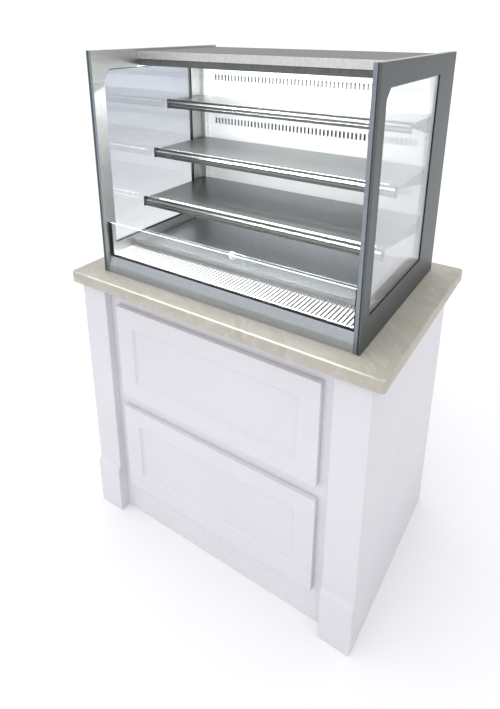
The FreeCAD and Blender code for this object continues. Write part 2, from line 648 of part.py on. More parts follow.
def rearDuctPanel():
    """White inner wall with rows of air slots; cold air rises behind it."""
    half = "caseWidth/2 - frameThick - ductFit"
    outer = rectangle(f"-({half})", "counterHeight + ductFoot", half,
                      "counterHeight + hoodTop - hoodFascia - 1")
    wall = extrude("rear_duct_panel", "XZ_Plane", [outer], "caseFront + rearWall", "ductSheet")
    for shelf in ("lowShelfHigh", "midShelfHigh", "topShelfHigh"):
        low = f"counterHeight + {shelf} + ductSlotUp"
        slot = rectangle("-ductHalf", low, "-ductHalf + ductSlotWide", f"{low} + ductSlotTall")
        repeat(wall, pocket(wall, "XZ_Plane", [slot]), "X_Axis", "ductSlotPitch", "ductSlotCount")
    keep("rear_duct_panel", wall)


def shelfUprights():
    """Slotted standards that carry the shelf brackets."""
    posts = []
    low = "counterHeight + postLow"
    for side, left in (("left", "-postInner - postWide"), ("right", "postInner")):
        outline = rectangle(left, low, f"{left} + postWide", "counterHeight + postTop")
        post = extrude(f"upright_{side}", "XZ_Plane", [outline], "caseFront + rearWall - postDeep",
                       "postDeep")
        slot = rectangle(f"{left} + postSlotIn", f"{low} + postSlotUp",
                         f"{left} + postSlotIn + postSlotWide", f"{low} + postSlotUp + postSlotTall")
        repeat(post, pocket(post, "XZ_Plane", [slot]), "Z_Axis", "postSlotPitch", "postSlotCount")
        posts.append(post)
    keep("shelf_uprights", group("shelf_uprights", posts))


SHELVES = (("lower", "lowShelfHigh", "lowShelfDeep"), ("middle", "midShelfHigh", "midShelfDeep"),
           ("upper", "topShelfHigh", "topShelfDeep"))


def shelf(level, high, deep):
    """Folded sheet shelf with turned-down edges and a slotted front strip."""
    back = "caseFront + shelfBack - postDeep"
    front, top = f"{back} - {deep}", f"counterHeight + {high}"
    skin = "shelfSheet"
    profile = [(front, f"{top} - shelfLip"), (f"{front} + {skin}", f"{top} - shelfLip"),
               (f"{front} + {skin}", f"{top} - {skin}"), (f"{back} - {skin}", f"{top} - {skin}"),
               (f"{back} - {skin}", f"{top} - shelfLip"), (back, f"{top} - shelfLip"), (back, top),
               (front, top)]
    plate = extrude(f"shelf_{level}", "YZ_Plane", [profile], "-shelfHalf", "2*shelfHalf")
    slot = rectangle("slotPitch", f"{front} + slotBack", "slotPitch + slotWide",
                     f"{front} + slotBack + slotDeep")
    repeat(plate, pocket(plate, "XY_Plane", [slot]), "X_Axis", "slotPitch", "shelfSlots")
    keep(f"shelf_{level}", plate)


def shelfBrackets():
    """Tapered arms hooked into the uprights, two under each shelf."""
    arms = []
    back = "caseFront + shelfBack - postDeep"
    for level, high, deep in SHELVES:
        top = f"counterHeight + {high} - shelfSheet"
        tip = f"{back} - {deep} + armShort"
        arm = [(f"{back} + 2", f"{top} - armTall"), (f"{back} + 2", f"{top} - armNeck"),
               (f"{back} - shelfSheet", f"{top} - armNeck"), (f"{back} - shelfSheet", top),
               (tip, top), (tip, f"{top} - armTip")]
        for side, left in (("left", "-armOut - armThick"), ("right", "armOut")):
            arms.append(extrude(f"bracket_{level}_{side}", "YZ_Plane", [arm], left, "armThick"))
    keep("shelf_brackets", group("shelf_brackets", arms))


def shelfRails():
    """Bright front rails, standing a little above each shelf's surface."""
    rails = []
    for level, high, deep in SHELVES:
        front, top = f"caseFront + shelfBack - postDeep - {deep}", f"counterHeight + {high}"
        profile = [(f"{front} - railDeep", f"{top} - railDrop"), (front, f"{top} - railDrop"),
                   (front, f"{top} + railRise"), (f"{front} - railEdge", f"{top} + railRise"),
                   (f"{front} - railEdge", f"{top} - railEdge"),
                   (f"{front} - railDeep", f"{top} - railEase")]
        rails.append(extrude(f"rail_{level}", "YZ_Plane", [profile], "-shelfHalf + capWide",
                             "2*(shelfHalf - capWide)"))
    keep("shelf_rails", group("shelf_rails", rails))


def shelfEndCaps():
    caps = []
    for level, high, deep in SHELVES:
        front, top = f"caseFront + shelfBack - postDeep - {deep}", f"counterHeight + {high}"
        for side, left in (("left", "-shelfHalf"), ("right", "shelfHalf - capWide")):
            caps.append(block(f"cap_{level}_{side}", (left, f"{front} - capDeep", f"{top} - capDrop"),
                              ("capWide", "capDeep", "capTall")))
    keep("shelf_end_caps", group("shelf_end_caps", caps))


def lightStrips():
    """Light strips behind the hood fascia and behind the front lip of each shelf."""
    canopy = ("-canopyHalf", "caseFront + hoodFront + canopyBack", "counterHeight + hoodTop - canopyDrop")
    strips = [block("strip_canopy", canopy, ("2*canopyHalf", "canopyDeep", "canopyTall"))]
    for level, high, deep in SHELVES:
        front, top = f"caseFront + shelfBack - postDeep - {deep}", f"counterHeight + {high}"
        corner = ("-stripHalf", f"{front} + stripBack", f"{top} - shelfSheet - stripTall")
        strips.append(block(f"strip_{level}", corner, ("2*stripHalf", "stripDeep", "stripTall")))
    keep("light_strips", group("light_strips", strips))


# ---- deck ------------------------------------------------------------------------------------

def returnGrille():
    """Slotted sheet between the front glass and the deck, where the air returns."""
    front, back = "caseFront + guardBack + grilleGap", "caseFront + deckFront"
    half = "caseWidth/2 - frameThick - grilleEnd"
    outer = rectangle(f"-({half})", front, half, back)
    grille = extrude("return_air_grille", "XY_Plane", [outer], "counterHeight + deckHigh - grilleSheet",
                     "grilleSheet")
    left = "-(grillePitch*(grilleSlots - 1) + grilleSlotWide)/2"
    slot = rectangle(left, f"{front} + grilleRim", f"{left} + grilleSlotWide", f"{back} - grilleRim")
    repeat(grille, pocket(grille, "XY_Plane", [slot]), "X_Axis", "grillePitch", "grilleSlots")
    keep("return_air_grille", grille)


def deckFrontRail():
    """Extruded rail that holds the product stops and the grille's back edge."""
    front, low = "caseFront + deckFront + 2", "counterHeight + wellSkin + deckBarTall"
    top, slot = f"{low} + stopRailTall", f"{low} + stopSlotUp"
    profile = [(f"{front} - 8", f"{low} + 20"), (front, f"{low} + 20"), (front, top),
               (f"{front} + 4", top), (f"{front} + 4", slot),
               (f"{front} + stopRailDeep - 3.4", slot), (f"{front} + stopRailDeep - 3.4", top),
               (f"{front} + stopRailDeep", top), (f"{front} + stopRailDeep", low), (front, low),
               (front, f"{low} + 16"), (f"{front} - 8", f"{low} + 16")]
    rail = extrude("deck_front_rail", "YZ_Plane", [profile], "-deckHalf", "2*deckHalf")
    keep("deck_front_rail", rail)


def deckBars():
    """Square bars across the well that carry the deck."""
    ends = (("front", "caseFront + deckFront"), ("back", "caseFront + rearWall - panBack - deckBarDeep"))
    bars = [block(f"deck_bar_{end}", ("-deckHalf", start, "counterHeight + wellSkin"),
                  ("2*deckHalf", "deckBarDeep", "deckBarTall"))
            for end, start in ends]
    keep("deck_bars", group("deck_bars", bars))


def deckPan(side, left):
    """Shallow lift-out pan, turned down all round."""
    low, high = "counterHeight + wellSkin + deckBarTall", "counterHeight + deckHigh"
    front, back = "caseFront + deckFront + panGap", "caseFront + rearWall - panBack"
    outer = block(f"pan_outer_{side}", (left, front, low),
                  ("panWide", f"({back}) - ({front})", f"({high}) - ({low})"))
    inner = block(f"pan_inner_{side}", (f"{left} + panSheet", f"{front} + panSheet", f"{low} - 1"),
                  ("panWide - 2*panSheet", f"({back}) - ({front}) - 2*panSheet",
                   f"({high}) - ({low}) - panSheet + 1"))
    keep(f"deck_pan_{side}", cut(f"deck_pan_{side}", outer, inner))


def productStops():
    """Two overlapping clear stops standing in the deck rail, with the clip that joins them."""
    rail = "caseFront + deckFront + 6"
    low = "counterHeight + wellSkin + deckBarTall + stopSlotUp"
    size = ("stopWide", "stopThick", f"counterHeight + stopTop - ({low})")
    rows = (("left", "stopLap - stopWide", "0.2"), ("right", "-stopLap", "0.4 + stopThick"))
    stops = [block(f"stop_{side}", (left, f"{rail} + {gap}", low), size) for side, left, gap in rows]
    keep("product_stops", group("product_stops", stops))


# ---- cooling equipment -----------------------------------------------------------------------

def fanWheel(label, centre, along, radius, deep, bladeCount, pitchAngle):
    """Hub with flat pitched blades and a running bore, spinning about X or Y."""
    hub = rod(f"{label}_hub", ("0", "0", "0"), "hubRadius", deep)
    blades = []
    for number in range(bladeCount):
        blade = doc.addObject("Part::Box", f"{label}_blade_{number}")
        bind(blade, "Length", f"{radius} - hubRadius + bladeRoot")
        bind(blade, "Width", f"{radius}*0.62")
        bind(blade, "Height", "bladeSheet")
        pitch = FreeCAD.Placement(FreeCAD.Vector(value("hubRadius") - value("bladeRoot"), 0, 0),
                                  FreeCAD.Rotation(FreeCAD.Vector(1, 0, 0), pitchAngle))
        centred = FreeCAD.Placement(
            FreeCAD.Vector(0, -value(radius) * 0.31, -value("bladeSheet") / 2), FreeCAD.Rotation())
        spin = FreeCAD.Placement(FreeCAD.Vector(0, 0, deep / 2),
                                 FreeCAD.Rotation(FreeCAD.Vector(0, 0, 1), 360 / bladeCount * number))
        blade.Placement = spin.multiply(pitch.multiply(centred))
        blades.append(blade)
    bore = rod(f"{label}_bore", ("0", "0", "-1"), "shaftRadius + shaftFit", f"{deep} - 5")
    wheel = cut(label, fuse(f"{label}_solid", [hub] + blades), bore)
    if along == "x":
        turn(wheel, (0, 1, 0), 90)
    else:
        turn(wheel, (1, 0, 0), -90)
    place(wheel, centre)
    keep(label, wheel)


def coolFanDeck():
    """Upright plate with two fan openings, and the two motors that hang on it by cross straps."""
    half = "wellWidth/2 - wellWall - 1"
    outer = rectangle(f"-({half})", "wellLow + wellWall", half, "counterHeight - 4")
    holes = [((f"{sign}*coolFanApart", "coolFanHigh"), "coolFanRadius + 6") for sign in (-1, 1)]
    members = [extrude("cool_fan_plate", "XZ_Plane", [outer], "coolFanPlate", "2", holes)]
    for side, sign in (("left", -1), ("right", 1)):
        centre = f"{sign}*coolFanApart"
        case = rod(f"cool_motor_{side}", (centre, "coolFanPlate - motorBack", "coolFanHigh"), "motorRadius",
                   "motorLong", "y")
        shaft = rod(f"cool_shaft_{side}", (centre, "coolFanPlate - motorBack + motorLong", "coolFanHigh"),
                    "shaftRadius", "22", "y")
        back, low = "coolFanPlate - strapBack", "coolFanHigh - strapTall/2"
        strap = block(f"cool_strap_{side}", (f"{centre} - strapHalf", back, low),
                      ("2*strapHalf", "strapSheet", "strapTall"))
        feet = [block(f"cool_foot_{side}_{end}", (start, back, low), ("footWide", "strapBack", "strapTall"))
                for end, start in (("a", f"{centre} - strapHalf"), ("b", f"{centre} + strapHalf - footWide"))]
        members.append(fuse(f"cool_motor_set_{side}", [case, shaft, strap] + feet))
    keep("evaporator_fan_deck", group("evaporator_fan_deck", members))


def coilFins(label, size, at, pitch, count, along, tubeRadius, tubeRows):
    """Stack of thin fins on straight tubes joined by end plates."""
    fins = []
    for number in range(count):
        step = f"{number}*{pitch}"
        corner = list(at)
        corner["xy".index(along)] += f" + {step}"
        fins.append(block(f"{label}_fin_{number}", corner, size))
    run = f"{pitch}*{count - 1} + 41.2"
    tubes = []
    for row, (across, up) in enumerate(tubeRows):
        if along == "x":
            start = (f"{at[0]} - 20", f"{at[1]} + {across}", f"{at[2]} + {up}")
        else:
            start = (f"{at[0]} + {across}", f"{at[1]} - 20", f"{at[2]} + {up}")
        tubes.append(rod(f"{label}_tube_{row}", start, tubeRadius, run, along))
    keep(label, fuse(label, fins + tubes))


def evaporatorCoil():
    rows = [(across, up) for across in (25, 65) for up in (40, 95, 150, 205)]
    corner = ("-318.6", "70", "wellLow + wellWall + 8")
    coilFins("evaporator_coil", ("1.2", "90", "240"), corner, 26, 25, "x", "6", rows)


def unitFrame():
    """Pressed tray, fan shroud and fan motor that make the condensing unit's frame."""
    trayOuter = block("unit_outer", ("-unitHalf", "-unitDeepHalf", "unitLow"),
                      ("2*unitHalf", "2*unitDeepHalf", "trayTall"))
    trayInner = block("unit_inner", ("-unitHalf + traySheet", "-unitDeepHalf + traySheet", "unitLow - 1"),
                      ("2*(unitHalf - traySheet)", "2*(unitDeepHalf - traySheet)",
                       "trayTall - traySheet + 1"))
    tray = cut("unit_tray", trayOuter, trayInner)
    outer = block("shroud_outer", ("shroudLeft", "-shroudHalf", "unitLow + trayTall"),
                  ("shroudWide", "2*shroudHalf", "shroudTall"))
    inner = block("shroud_inner",
                  ("shroudLeft + traySheet", "-shroudHalf + traySheet", "unitLow + trayTall + traySheet"),
                  ("shroudWide", "2*(shroudHalf - traySheet)", "shroudTall - 2*traySheet"))
    hole = rod("shroud_hole", ("200", "0", "warmFanHigh"), "warmFanRadius + 8", "10", "x")
    shroud = cut("shroud", cut("shroud_box", outer, inner), hole)
    case = rod("warm_motor_case", ("110", "0", "warmFanHigh"), "38", "72", "x")
    shaft = rod("warm_motor_shaft", ("182", "0", "warmFanHigh"), "shaftRadius", "30", "x")
    post = block("warm_motor_post", ("130", "-20", "unitLow + 24"),
                 ("30", "40", "warmFanHigh - unitLow - 50"))
    motor = fuse("warm_motor", [case, shaft, post])
    keep("condensing_unit_frame", group("condensing_unit_frame", [tray, shroud, motor]))


def compressor():
    """Welded steel can with rounded ends on four feet."""
    can = extrude("compressor_can", "XY_Plane", [], "unitLow + canLift", "canTall",
                  [(("canAcross", "0"), "canRadius")])
    dress(can, "Fillet", "canRound",
          lambda edge: len(edge.Vertexes) == 1 or isinstance(edge.Curve, Part.Circle))
    plate = block("compressor_plate",
                  ("canAcross - canPlateWide/2", "-canPlateDeep/2", "unitLow + canLift - canPlateThick"),
                  ("canPlateWide", "canPlateDeep", "canPlateThick"))
    feet = [rod(f"compressor_foot_{across}_{along}", (f"canAcross + {across}", along, "unitLow + trayTall"),
                "canFootRadius", "canLift - canPlateThick - trayTall")
            for across in ("-83", "83") for along in ("-52", "52")]
    hood = block("compressor_terminals", ("-200", "-112", "unitLow + 110"), ("50", "26", "60"))
    keep("compressor", fuse("compressor", [can, plate, hood] + feet))


def condenserCoil():
    rows = [(20, up) for up in (30, 80, 130, 180, 230, 280)]
    corner = ("250", "-150", "unitLow + 34")
    coilFins("condenser_coil", ("40", "1.2", "310"), corner, 12, 26, "y", "5", rows)


def tubeAlong(points, radius, bend):
    """Round tube along straight runs joined by tangent arcs."""
    corners = [FreeCAD.Vector(*point) for point in points]
    edges = []
    start = corners[0]
    for before, corner, after in zip(corners, corners[1:], corners[2:]):
        into = (corner - before).normalize()
        out = (after - corner).normalize()
        half = into.getAngle(out) / 2
        cutBack = bend * math.tan(half)
        first, last = corner - into * cutBack, corner + out * cutBack
        inward = (out - into).normalize()
        middle = corner + inward * (bend / math.cos(half) - bend)
        edges.append(Part.LineSegment(start, first).toShape())
        edges.append(Part.Arc(first, middle, last).toShape())
        start = last
    edges.append(Part.LineSegment(start, corners[-1]).toShape())
    circle = Part.Circle(corners[0], (corners[1] - corners[0]).normalize(), radius).toShape()
    return Part.Wire(edges).makePipeShell([Part.Wire([circle])], True, True)


def refrigerantLines():
    """Copper suction and liquid lines from the condensing unit up to the well."""
    wellLow = value("wellLow")
    unitLow = value("unitLow")
    suction = [(-130, 0, unitLow + 254), (-130, 0, unitLow + 330), (-30, 60, unitLow + 400),
               (-30, 60, wellLow)]
    liquid = [(180, -175, unitLow + 24.2), (180, -175, unitLow + 420), (60, 60, unitLow + 470),
              (60, 60, wellLow)]
    lines = []
    for name, route, radius in (("suction_line", suction, 8), ("liquid_line", liquid, 5)):
        line = doc.addObject("Part::Feature", name)
        line.Shape = tubeAlong(route, radius, 30)
        lines.append(line)
    keep("refrigerant_lines", group("refrigerant_lines", lines))


# ---- rear controls ---------------------------------------------------------------------------

def controlHousing():
    """Small control box on the operator's side of the back panel."""
    face = "caseFront + caseDepth"
    box = block("control_box", ("controlLeft", face, "controlLow"),
                ("controlWide", "controlDeep", "controlTall"))
    rounded = doc.addObject("Part::Fillet", "control_box_rounded")
    rounded.Base = box
    doc.recompute()
    outer = value("caseFront") + value("caseDepth") + value("controlDeep") - 0.1
    picked = [number for number, edge in enumerate(box.Shape.Edges, start=1) if edge.CenterOfMass.y > outer]
    rounded.Edges = [(number, value("controlEase"), value("controlEase")) for number in picked]
    well = block("rocker_well",
                 ("controlLeft + rockerLeft - rockerFit", f"{face} + controlDeep - 20",
                  "controlLow + controlAxis - 15"),
                 ("rockerWide + 2*rockerFit", "30", "30"))
    pivot = rod("rocker_bore",
                ("controlLeft + 177", f"{face} + controlDeep - pivotSink", "controlLow + controlAxis"),
                "pivotRadius + shaftFit", "26", "x")
    bore = rod("knob_bore",
               ("controlLeft + knobAcross", f"{face} + controlDeep - 20", "controlLow + controlAxis"),
               "shaftRadius + shaftFit", "30", "y")
    window = block("display_window",
                   ("controlLeft + windowLeft", f"{face} + controlDeep - windowSink",
                    "controlLow + windowUp"),
                   ("windowWide", "4", "windowTall"))
    cuts = fuse("control_cuts", [well, pivot, bore, window])
    keep("control_housing", cut("control_housing", rounded, cuts))


def powerRocker():
    face = "caseFront + caseDepth + controlDeep"
    paddle = block("rocker_paddle",
                   ("controlLeft + rockerLeft", f"{face} - rockerSink",
                    "controlLow + controlAxis - rockerTall/2"),
                   ("rockerWide", "rockerThick", "rockerTall"))
    pin = rod("rocker_pin", ("controlLeft + 177.4", f"{face} - pivotSink", "controlLow + controlAxis"),
              "pivotRadius", "25.2", "x")
    rocker = fuse("power_rocker", [paddle, pin])
    pivot = FreeCAD.Vector(
        0, value("caseFront") + value("caseDepth") + value("controlDeep") - value("pivotSink"),
        value("controlLow") + value("controlAxis"))
    tilt = FreeCAD.Rotation(FreeCAD.Vector(1, 0, 0), value("rockerTilt"))
    rocker.Placement = FreeCAD.Placement(FreeCAD.Vector(), tilt, pivot)
    keep("power_rocker", rocker)


def temperatureKnob():
    face = "caseFront + caseDepth + controlDeep"
    centre, height = "controlLeft + knobAcross", "controlLow + controlAxis"
    cap = rod("knob_cap", (centre, f"{face} + knobGap", height), "knobRadius", "knobDeep", "y")
    stem = rod("knob_stem", (centre, f"{face} - 18", height), "shaftRadius", "20", "y")
    grip = block("knob_grip", (f"{centre} - gripWide/2", f"{face} + 10", f"{height} - knobRadius + 1"),
                 ("gripWide", "gripDeep", "2*knobRadius - 2"))
    keep("temperature_knob", fuse("temperature_knob", [cap, stem, grip]))


def powerInlet():
    """Recessed appliance inlet on the back frame."""
    body = block("inlet_body", ("inletLeft", "cabinetBack", "inletUp"),
                 ("inletWide", "inletDeep", "inletTall"))
    recess = block("inlet_recess", ("inletLeft + inletWall", "cabinetBack + 3", "inletUp + inletWall - 1"),
                   ("inletWide - 2*inletWall", "inletDeep + 1", "inletTall - 2*inletWall + 2"))
    pins = [block(f"inlet_pin_{number}", (f"inletLeft + {left}", "cabinetBack + 1", "inletUp + 13"),
                  ("2", "6", "5"))
            for number, left in enumerate(("11", "19", "27"))]
    keep("power_inlet", fuse("power_inlet", [cut("inlet_shell", body, recess)] + pins))


# ---- build -----------------------------------------------------------------------------------

def buildCabinet():
    countertop()
    cabinetSides()
    pilasters()
    frontBoard()
    frontPanel("upper_front_panel", "upperPanelLow", "upperPanelTall")
    frontPanel("lower_front_panel", "lowerPanelLow", "lowerPanelTall")
    cabinetFloor()
    backFrame()
    for side, sign in (("left", -1), ("right", 1)):
        serviceDoor(side, sign)
        doorPull(side, sign)
        doorLeaves(side, sign)
    frameLeaves()
    powerInlet()


def buildCase():
    wellShell()
    wellLiner()
    for side, sign in (("left", -1), ("right", 1)):
        endFrame(side, sign)
    endGlass()
    endGlassSpacers()
    frontApron()
    guardChannel()
    guardGlass()
    hoodPanel()
    canopyValance()
    hoodUnderside()
    airHoneycomb()
    backPanel()
    insulation()
    backPanelScrews()
    rearDuctPanel()


def buildShelves():
    shelfUprights()
    for level, high, deep in SHELVES:
        shelf(level, high, deep)
    shelfRails()
    shelfBrackets()
    shelfEndCaps()
    lightStrips()
    returnGrille()
    deckFrontRail()
    deckBars()
    deckPan("left", "-panWide - 0.5")
    deckPan("right", "0.5")
    productStops()


def buildCooling():
    coolFanDeck()
    for side, sign in (("left", -1), ("right", 1)):
        fanWheel(f"evaporator_fan_{side}", (f"{sign}*coolFanApart", "coolFanPlate - 9", "coolFanHigh"), "y",
                 "coolFanRadius", 24, 5, 28)
    evaporatorCoil()
    unitFrame()
    compressor()
    condenserCoil()
    fanWheel("condenser_fan", ("187", "0", "warmFanHigh"), "x", "warmFanRadius", 32, 5, 24)
    refrigerantLines()


def buildControls():
    controlHousing()
    powerRocker()
    temperatureKnob()


def checkDocument():
    for thing in doc.Objects:
        bad = {"Invalid", "Error"} & set(thing.State)
        if bad:
            raise RuntimeError(f"{thing.Name} ({thing.Label}): {sorted(bad)}")
    for label, thing in parts.items():
        shape = thing.Shape
        if shape.isNull() or not shape.isValid() or not shape.Solids:
            raise RuntimeError(f"{label}: shape is empty or not valid")


buildCabinet()
buildCase()
buildShelves()
buildCooling()
buildControls()
doc.recompute()
checkDocument()

os.makedirs("parts", exist_ok=True)
for label, thing in parts.items():
    thing.Shape.exportStep(f"parts/{label}.step")
    box = thing.Shape.BoundBox
    print(f"{label:26s} solids {len(thing.Shape.Solids):2d}  volume {thing.Shape.Volume / 1000:10.1f} cm3  "
          f"x {box.XMin:.1f}..{box.XMax:.1f}  y {box.YMin:.1f}..{box.YMax:.1f}  "
          f"z {box.ZMin:.1f}..{box.ZMax:.1f}")
print(len(parts), "sub-parts")
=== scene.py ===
import json
import math

import bmesh
import bpy
from mathutils import Matrix, Vector

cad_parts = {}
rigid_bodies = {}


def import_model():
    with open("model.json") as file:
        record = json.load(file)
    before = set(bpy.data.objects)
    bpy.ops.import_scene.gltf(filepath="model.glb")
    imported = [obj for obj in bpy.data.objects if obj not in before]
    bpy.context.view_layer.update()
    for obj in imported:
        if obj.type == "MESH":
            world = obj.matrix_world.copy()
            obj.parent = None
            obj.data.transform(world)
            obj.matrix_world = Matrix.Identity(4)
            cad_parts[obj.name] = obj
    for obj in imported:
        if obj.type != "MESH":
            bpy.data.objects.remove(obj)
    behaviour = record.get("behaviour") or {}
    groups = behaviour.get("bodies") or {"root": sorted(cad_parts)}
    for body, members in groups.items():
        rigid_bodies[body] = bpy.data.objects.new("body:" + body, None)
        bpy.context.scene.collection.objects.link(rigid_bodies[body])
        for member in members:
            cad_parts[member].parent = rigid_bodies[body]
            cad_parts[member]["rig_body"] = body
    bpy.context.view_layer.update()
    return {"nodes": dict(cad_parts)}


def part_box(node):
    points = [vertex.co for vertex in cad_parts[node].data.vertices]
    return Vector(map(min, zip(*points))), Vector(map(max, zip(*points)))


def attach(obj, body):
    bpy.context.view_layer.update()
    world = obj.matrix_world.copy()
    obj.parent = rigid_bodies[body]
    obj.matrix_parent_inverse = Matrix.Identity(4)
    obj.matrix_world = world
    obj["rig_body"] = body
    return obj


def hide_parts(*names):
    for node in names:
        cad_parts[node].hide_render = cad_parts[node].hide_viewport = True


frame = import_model()
nodes = frame["nodes"]
shelfLevels = ("lower", "middle", "upper")


# working helpers

def linear(red, green, blue):
    # a paint-chip colour, 0 to 255, as the shader's linear colour
    def channel(value):
        share = value / 255
        return share / 12.92 if share <= 0.04045 else ((share + 0.055) / 1.055) ** 2.4
    return (channel(red), channel(green), channel(blue), 1.0)


def addNode(tree, kind, values=None, **settings):
    node = tree.nodes.new(kind)
    for name, value in settings.items():
        setattr(node, name, value)
    for socket, value in (values or {}).items():
        node.inputs[socket].default_value = value
    return node


def newGroup(name, inputs, outputs):
    group = bpy.data.node_groups.new(name, "ShaderNodeTree")
    for label, kind, value in inputs:
        group.interface.new_socket(label, in_out="INPUT", socket_type=kind).default_value = value
    for label in outputs:
        group.interface.new_socket(label, in_out="OUTPUT", socket_type="NodeSocketFloat")
    return group, group.nodes.new("NodeGroupInput"), group.nodes.new("NodeGroupOutput")


def useGroup(tree, group, **values):
    node = tree.nodes.new("ShaderNodeGroup")
    node.node_tree = group
    for socket, value in values.items():
        node.inputs[socket].default_value = value
    return node


def newMaterial(name, **constants):
    material = bpy.data.materials.new(name)
    material.use_nodes = True
    shader = material.node_tree.nodes["Principled BSDF"]
    for socket, value in constants.items():
        shader.inputs[socket.replace("_", " ")].default_value = value
    return material, material.node_tree, shader


def mixColour(tree, mask, first, second):
    # first where the mask is 0, second where it is 1
    mix = addNode(tree, "ShaderNodeMix", data_type="RGBA")
    tree.links.new(mask, mix.inputs[0])
    for socket, source in ((mix.inputs[6], first), (mix.inputs[7], second)):
        if isinstance(source, tuple):
            socket.default_value = source
        else:
            tree.links.new(source, socket)
    return mix.outputs[2]


def remap(tree, source, low, high, start=0.0, end=1.0):
    ranged = addNode(tree, "ShaderNodeMapRange",
                     {"From Min": start, "From Max": end, "To Min": low, "To Max": high})
    tree.links.new(source, ranged.inputs["Value"])
    return ranged.outputs["Result"]


def addBump(tree, shader, height, strength, distance):
    bump = addNode(tree, "ShaderNodeBump", {"Strength": strength, "Distance": distance})
    tree.links.new(height, bump.inputs["Height"])
    tree.links.new(bump.outputs["Normal"], shader.inputs["Normal"])


# effects shared by several finishes

def makeGrain():
    # long scratches or fine peel, with a slow cloud over them
    group, entry, leave = newGroup("surfaceGrain", [
        ("Stretch", "NodeSocketVector", (40.0, 40.0, 40.0)),
        ("Cloud", "NodeSocketFloat", 3.0),
    ], ["Grain", "Cloud"])
    links = group.links
    place = addNode(group, "ShaderNodeTexCoord")
    pull = addNode(group, "ShaderNodeVectorMath", operation="MULTIPLY")
    links.new(place.outputs["Object"], pull.inputs[0])
    links.new(entry.outputs["Stretch"], pull.inputs[1])
    fine = addNode(group, "ShaderNodeTexNoise", {"Scale": 1.0, "Detail": 5.0, "Roughness": 0.7})
    links.new(pull.outputs[0], fine.inputs["Vector"])
    slow = addNode(group, "ShaderNodeTexNoise", {"Detail": 2.0, "Roughness": 0.45})
    links.new(place.outputs["Object"], slow.inputs["Vector"])
    links.new(entry.outputs["Cloud"], slow.inputs["Scale"])
    links.new(remap(group, fine.outputs["Fac"], 0.0, 1.0, 0.25, 0.75), leave.inputs["Grain"])
    links.new(remap(group, slow.outputs["Fac"], 0.0, 1.0, 0.3, 0.7), leave.inputs["Cloud"])
    return group


def makeEdgeWearAndHighlight():
    # rubbed outer edges, lightened as edge wear and as a painted highlight, broken up by noise
    group, entry, leave = newGroup("rubbedEdgeAndHighlight", [
        ("Amount", "NodeSocketFloat", 0.5),
        ("Patch", "NodeSocketFloat", 60.0),
    ], ["Mask"])
    links = group.links
    shape = addNode(group, "ShaderNodeNewGeometry")
    place = addNode(group, "ShaderNodeTexCoord")
    patch = addNode(group, "ShaderNodeTexNoise", {"Detail": 3.0})
    links.new(place.outputs["Object"], patch.inputs["Vector"])
    links.new(entry.outputs["Patch"], patch.inputs["Scale"])
    edge = remap(group, shape.outputs["Pointiness"], 0.0, 1.0, 0.52, 0.62)
    broken = addNode(group, "ShaderNodeMath", operation="MULTIPLY")
    links.new(edge, broken.inputs[0])
    links.new(remap(group, patch.outputs["Fac"], 0.2, 1.0, 0.4, 0.65), broken.inputs[1])
    scaled = addNode(group, "ShaderNodeMath", operation="MULTIPLY")
    links.new(broken.outputs[0], scaled.inputs[0])
    links.new(entry.outputs["Amount"], scaled.inputs[1])
    links.new(scaled.outputs[0], leave.inputs["Mask"])
    return group


def makeDust():
    # a little dust on whatever faces up
    group, entry, leave = newGroup("restingDust", [("Amount", "NodeSocketFloat", 0.2)], ["Mask"])
    links = group.links
    shape = addNode(group, "ShaderNodeNewGeometry")
    split = addNode(group, "ShaderNodeSeparateXYZ")
    links.new(shape.outputs["Normal"], split.inputs[0])
    place = addNode(group, "ShaderNodeTexCoord")
    speck = addNode(group, "ShaderNodeTexNoise", {"Scale": 14.0, "Detail": 8.0, "Roughness": 0.75})
    links.new(place.outputs["Object"], speck.inputs["Vector"])
    up = remap(group, split.outputs["Z"], 0.0, 1.0, 0.6, 1.0)
    both = addNode(group, "ShaderNodeMath", operation="MULTIPLY")
    links.new(up, both.inputs[0])
    links.new(remap(group, speck.outputs["Fac"], 0.0, 1.0, 0.4, 0.75), both.inputs[1])
    scaled = addNode(group, "ShaderNodeMath", operation="MULTIPLY")
    links.new(both.outputs[0], scaled.inputs[0])
    links.new(entry.outputs["Amount"], scaled.inputs[1])
    links.new(scaled.outputs[0], leave.inputs["Mask"])
    return group


surfaceGrain = makeGrain()
rubbedEdgeAndHighlight = makeEdgeWearAndHighlight()
restingDust = makeDust()


# finishes

def brushedSteel(name, tone, stretch, rough=0.3, depth=0.25, cloud=3.0, metallic=1.0):
    # stretch is small along the brushing and large across it
    material, tree, shader = newMaterial(name, Metallic=metallic)
    grain = useGroup(tree, surfaceGrain, Stretch=stretch, Cloud=cloud)
    wearHighlight = useGroup(tree, rubbedEdgeAndHighlight, Amount=0.5, Patch=80.0)
    dust = useGroup(tree, restingDust, Amount=0.1)
    base = linear(*tone)
    deep = tuple(channel * (1 - depth) for channel in base[:3]) + (1.0,)
    bright = tuple(min(1.0, channel * 1.35) for channel in base[:3]) + (1.0,)
    streaks = mixColour(tree, grain.outputs["Grain"], deep, base)
    clouded = mixColour(tree, remap(tree, grain.outputs["Cloud"], 0.0, 0.45), streaks, deep)
    # convex edges lightened: edge wear and a painted highlight
    wornHighlit = mixColour(tree, wearHighlight.outputs["Mask"], clouded, bright)
    dusty = mixColour(tree, dust.outputs["Mask"], wornHighlit, linear(176, 172, 166))
    tree.links.new(dusty, shader.inputs["Base Color"])
    tree.links.new(remap(tree, grain.outputs["Grain"], rough - 0.05, rough + 0.1),
                   shader.inputs["Roughness"])
    addBump(tree, shader, grain.outputs["Grain"], 0.12, 0.0003)
    return material


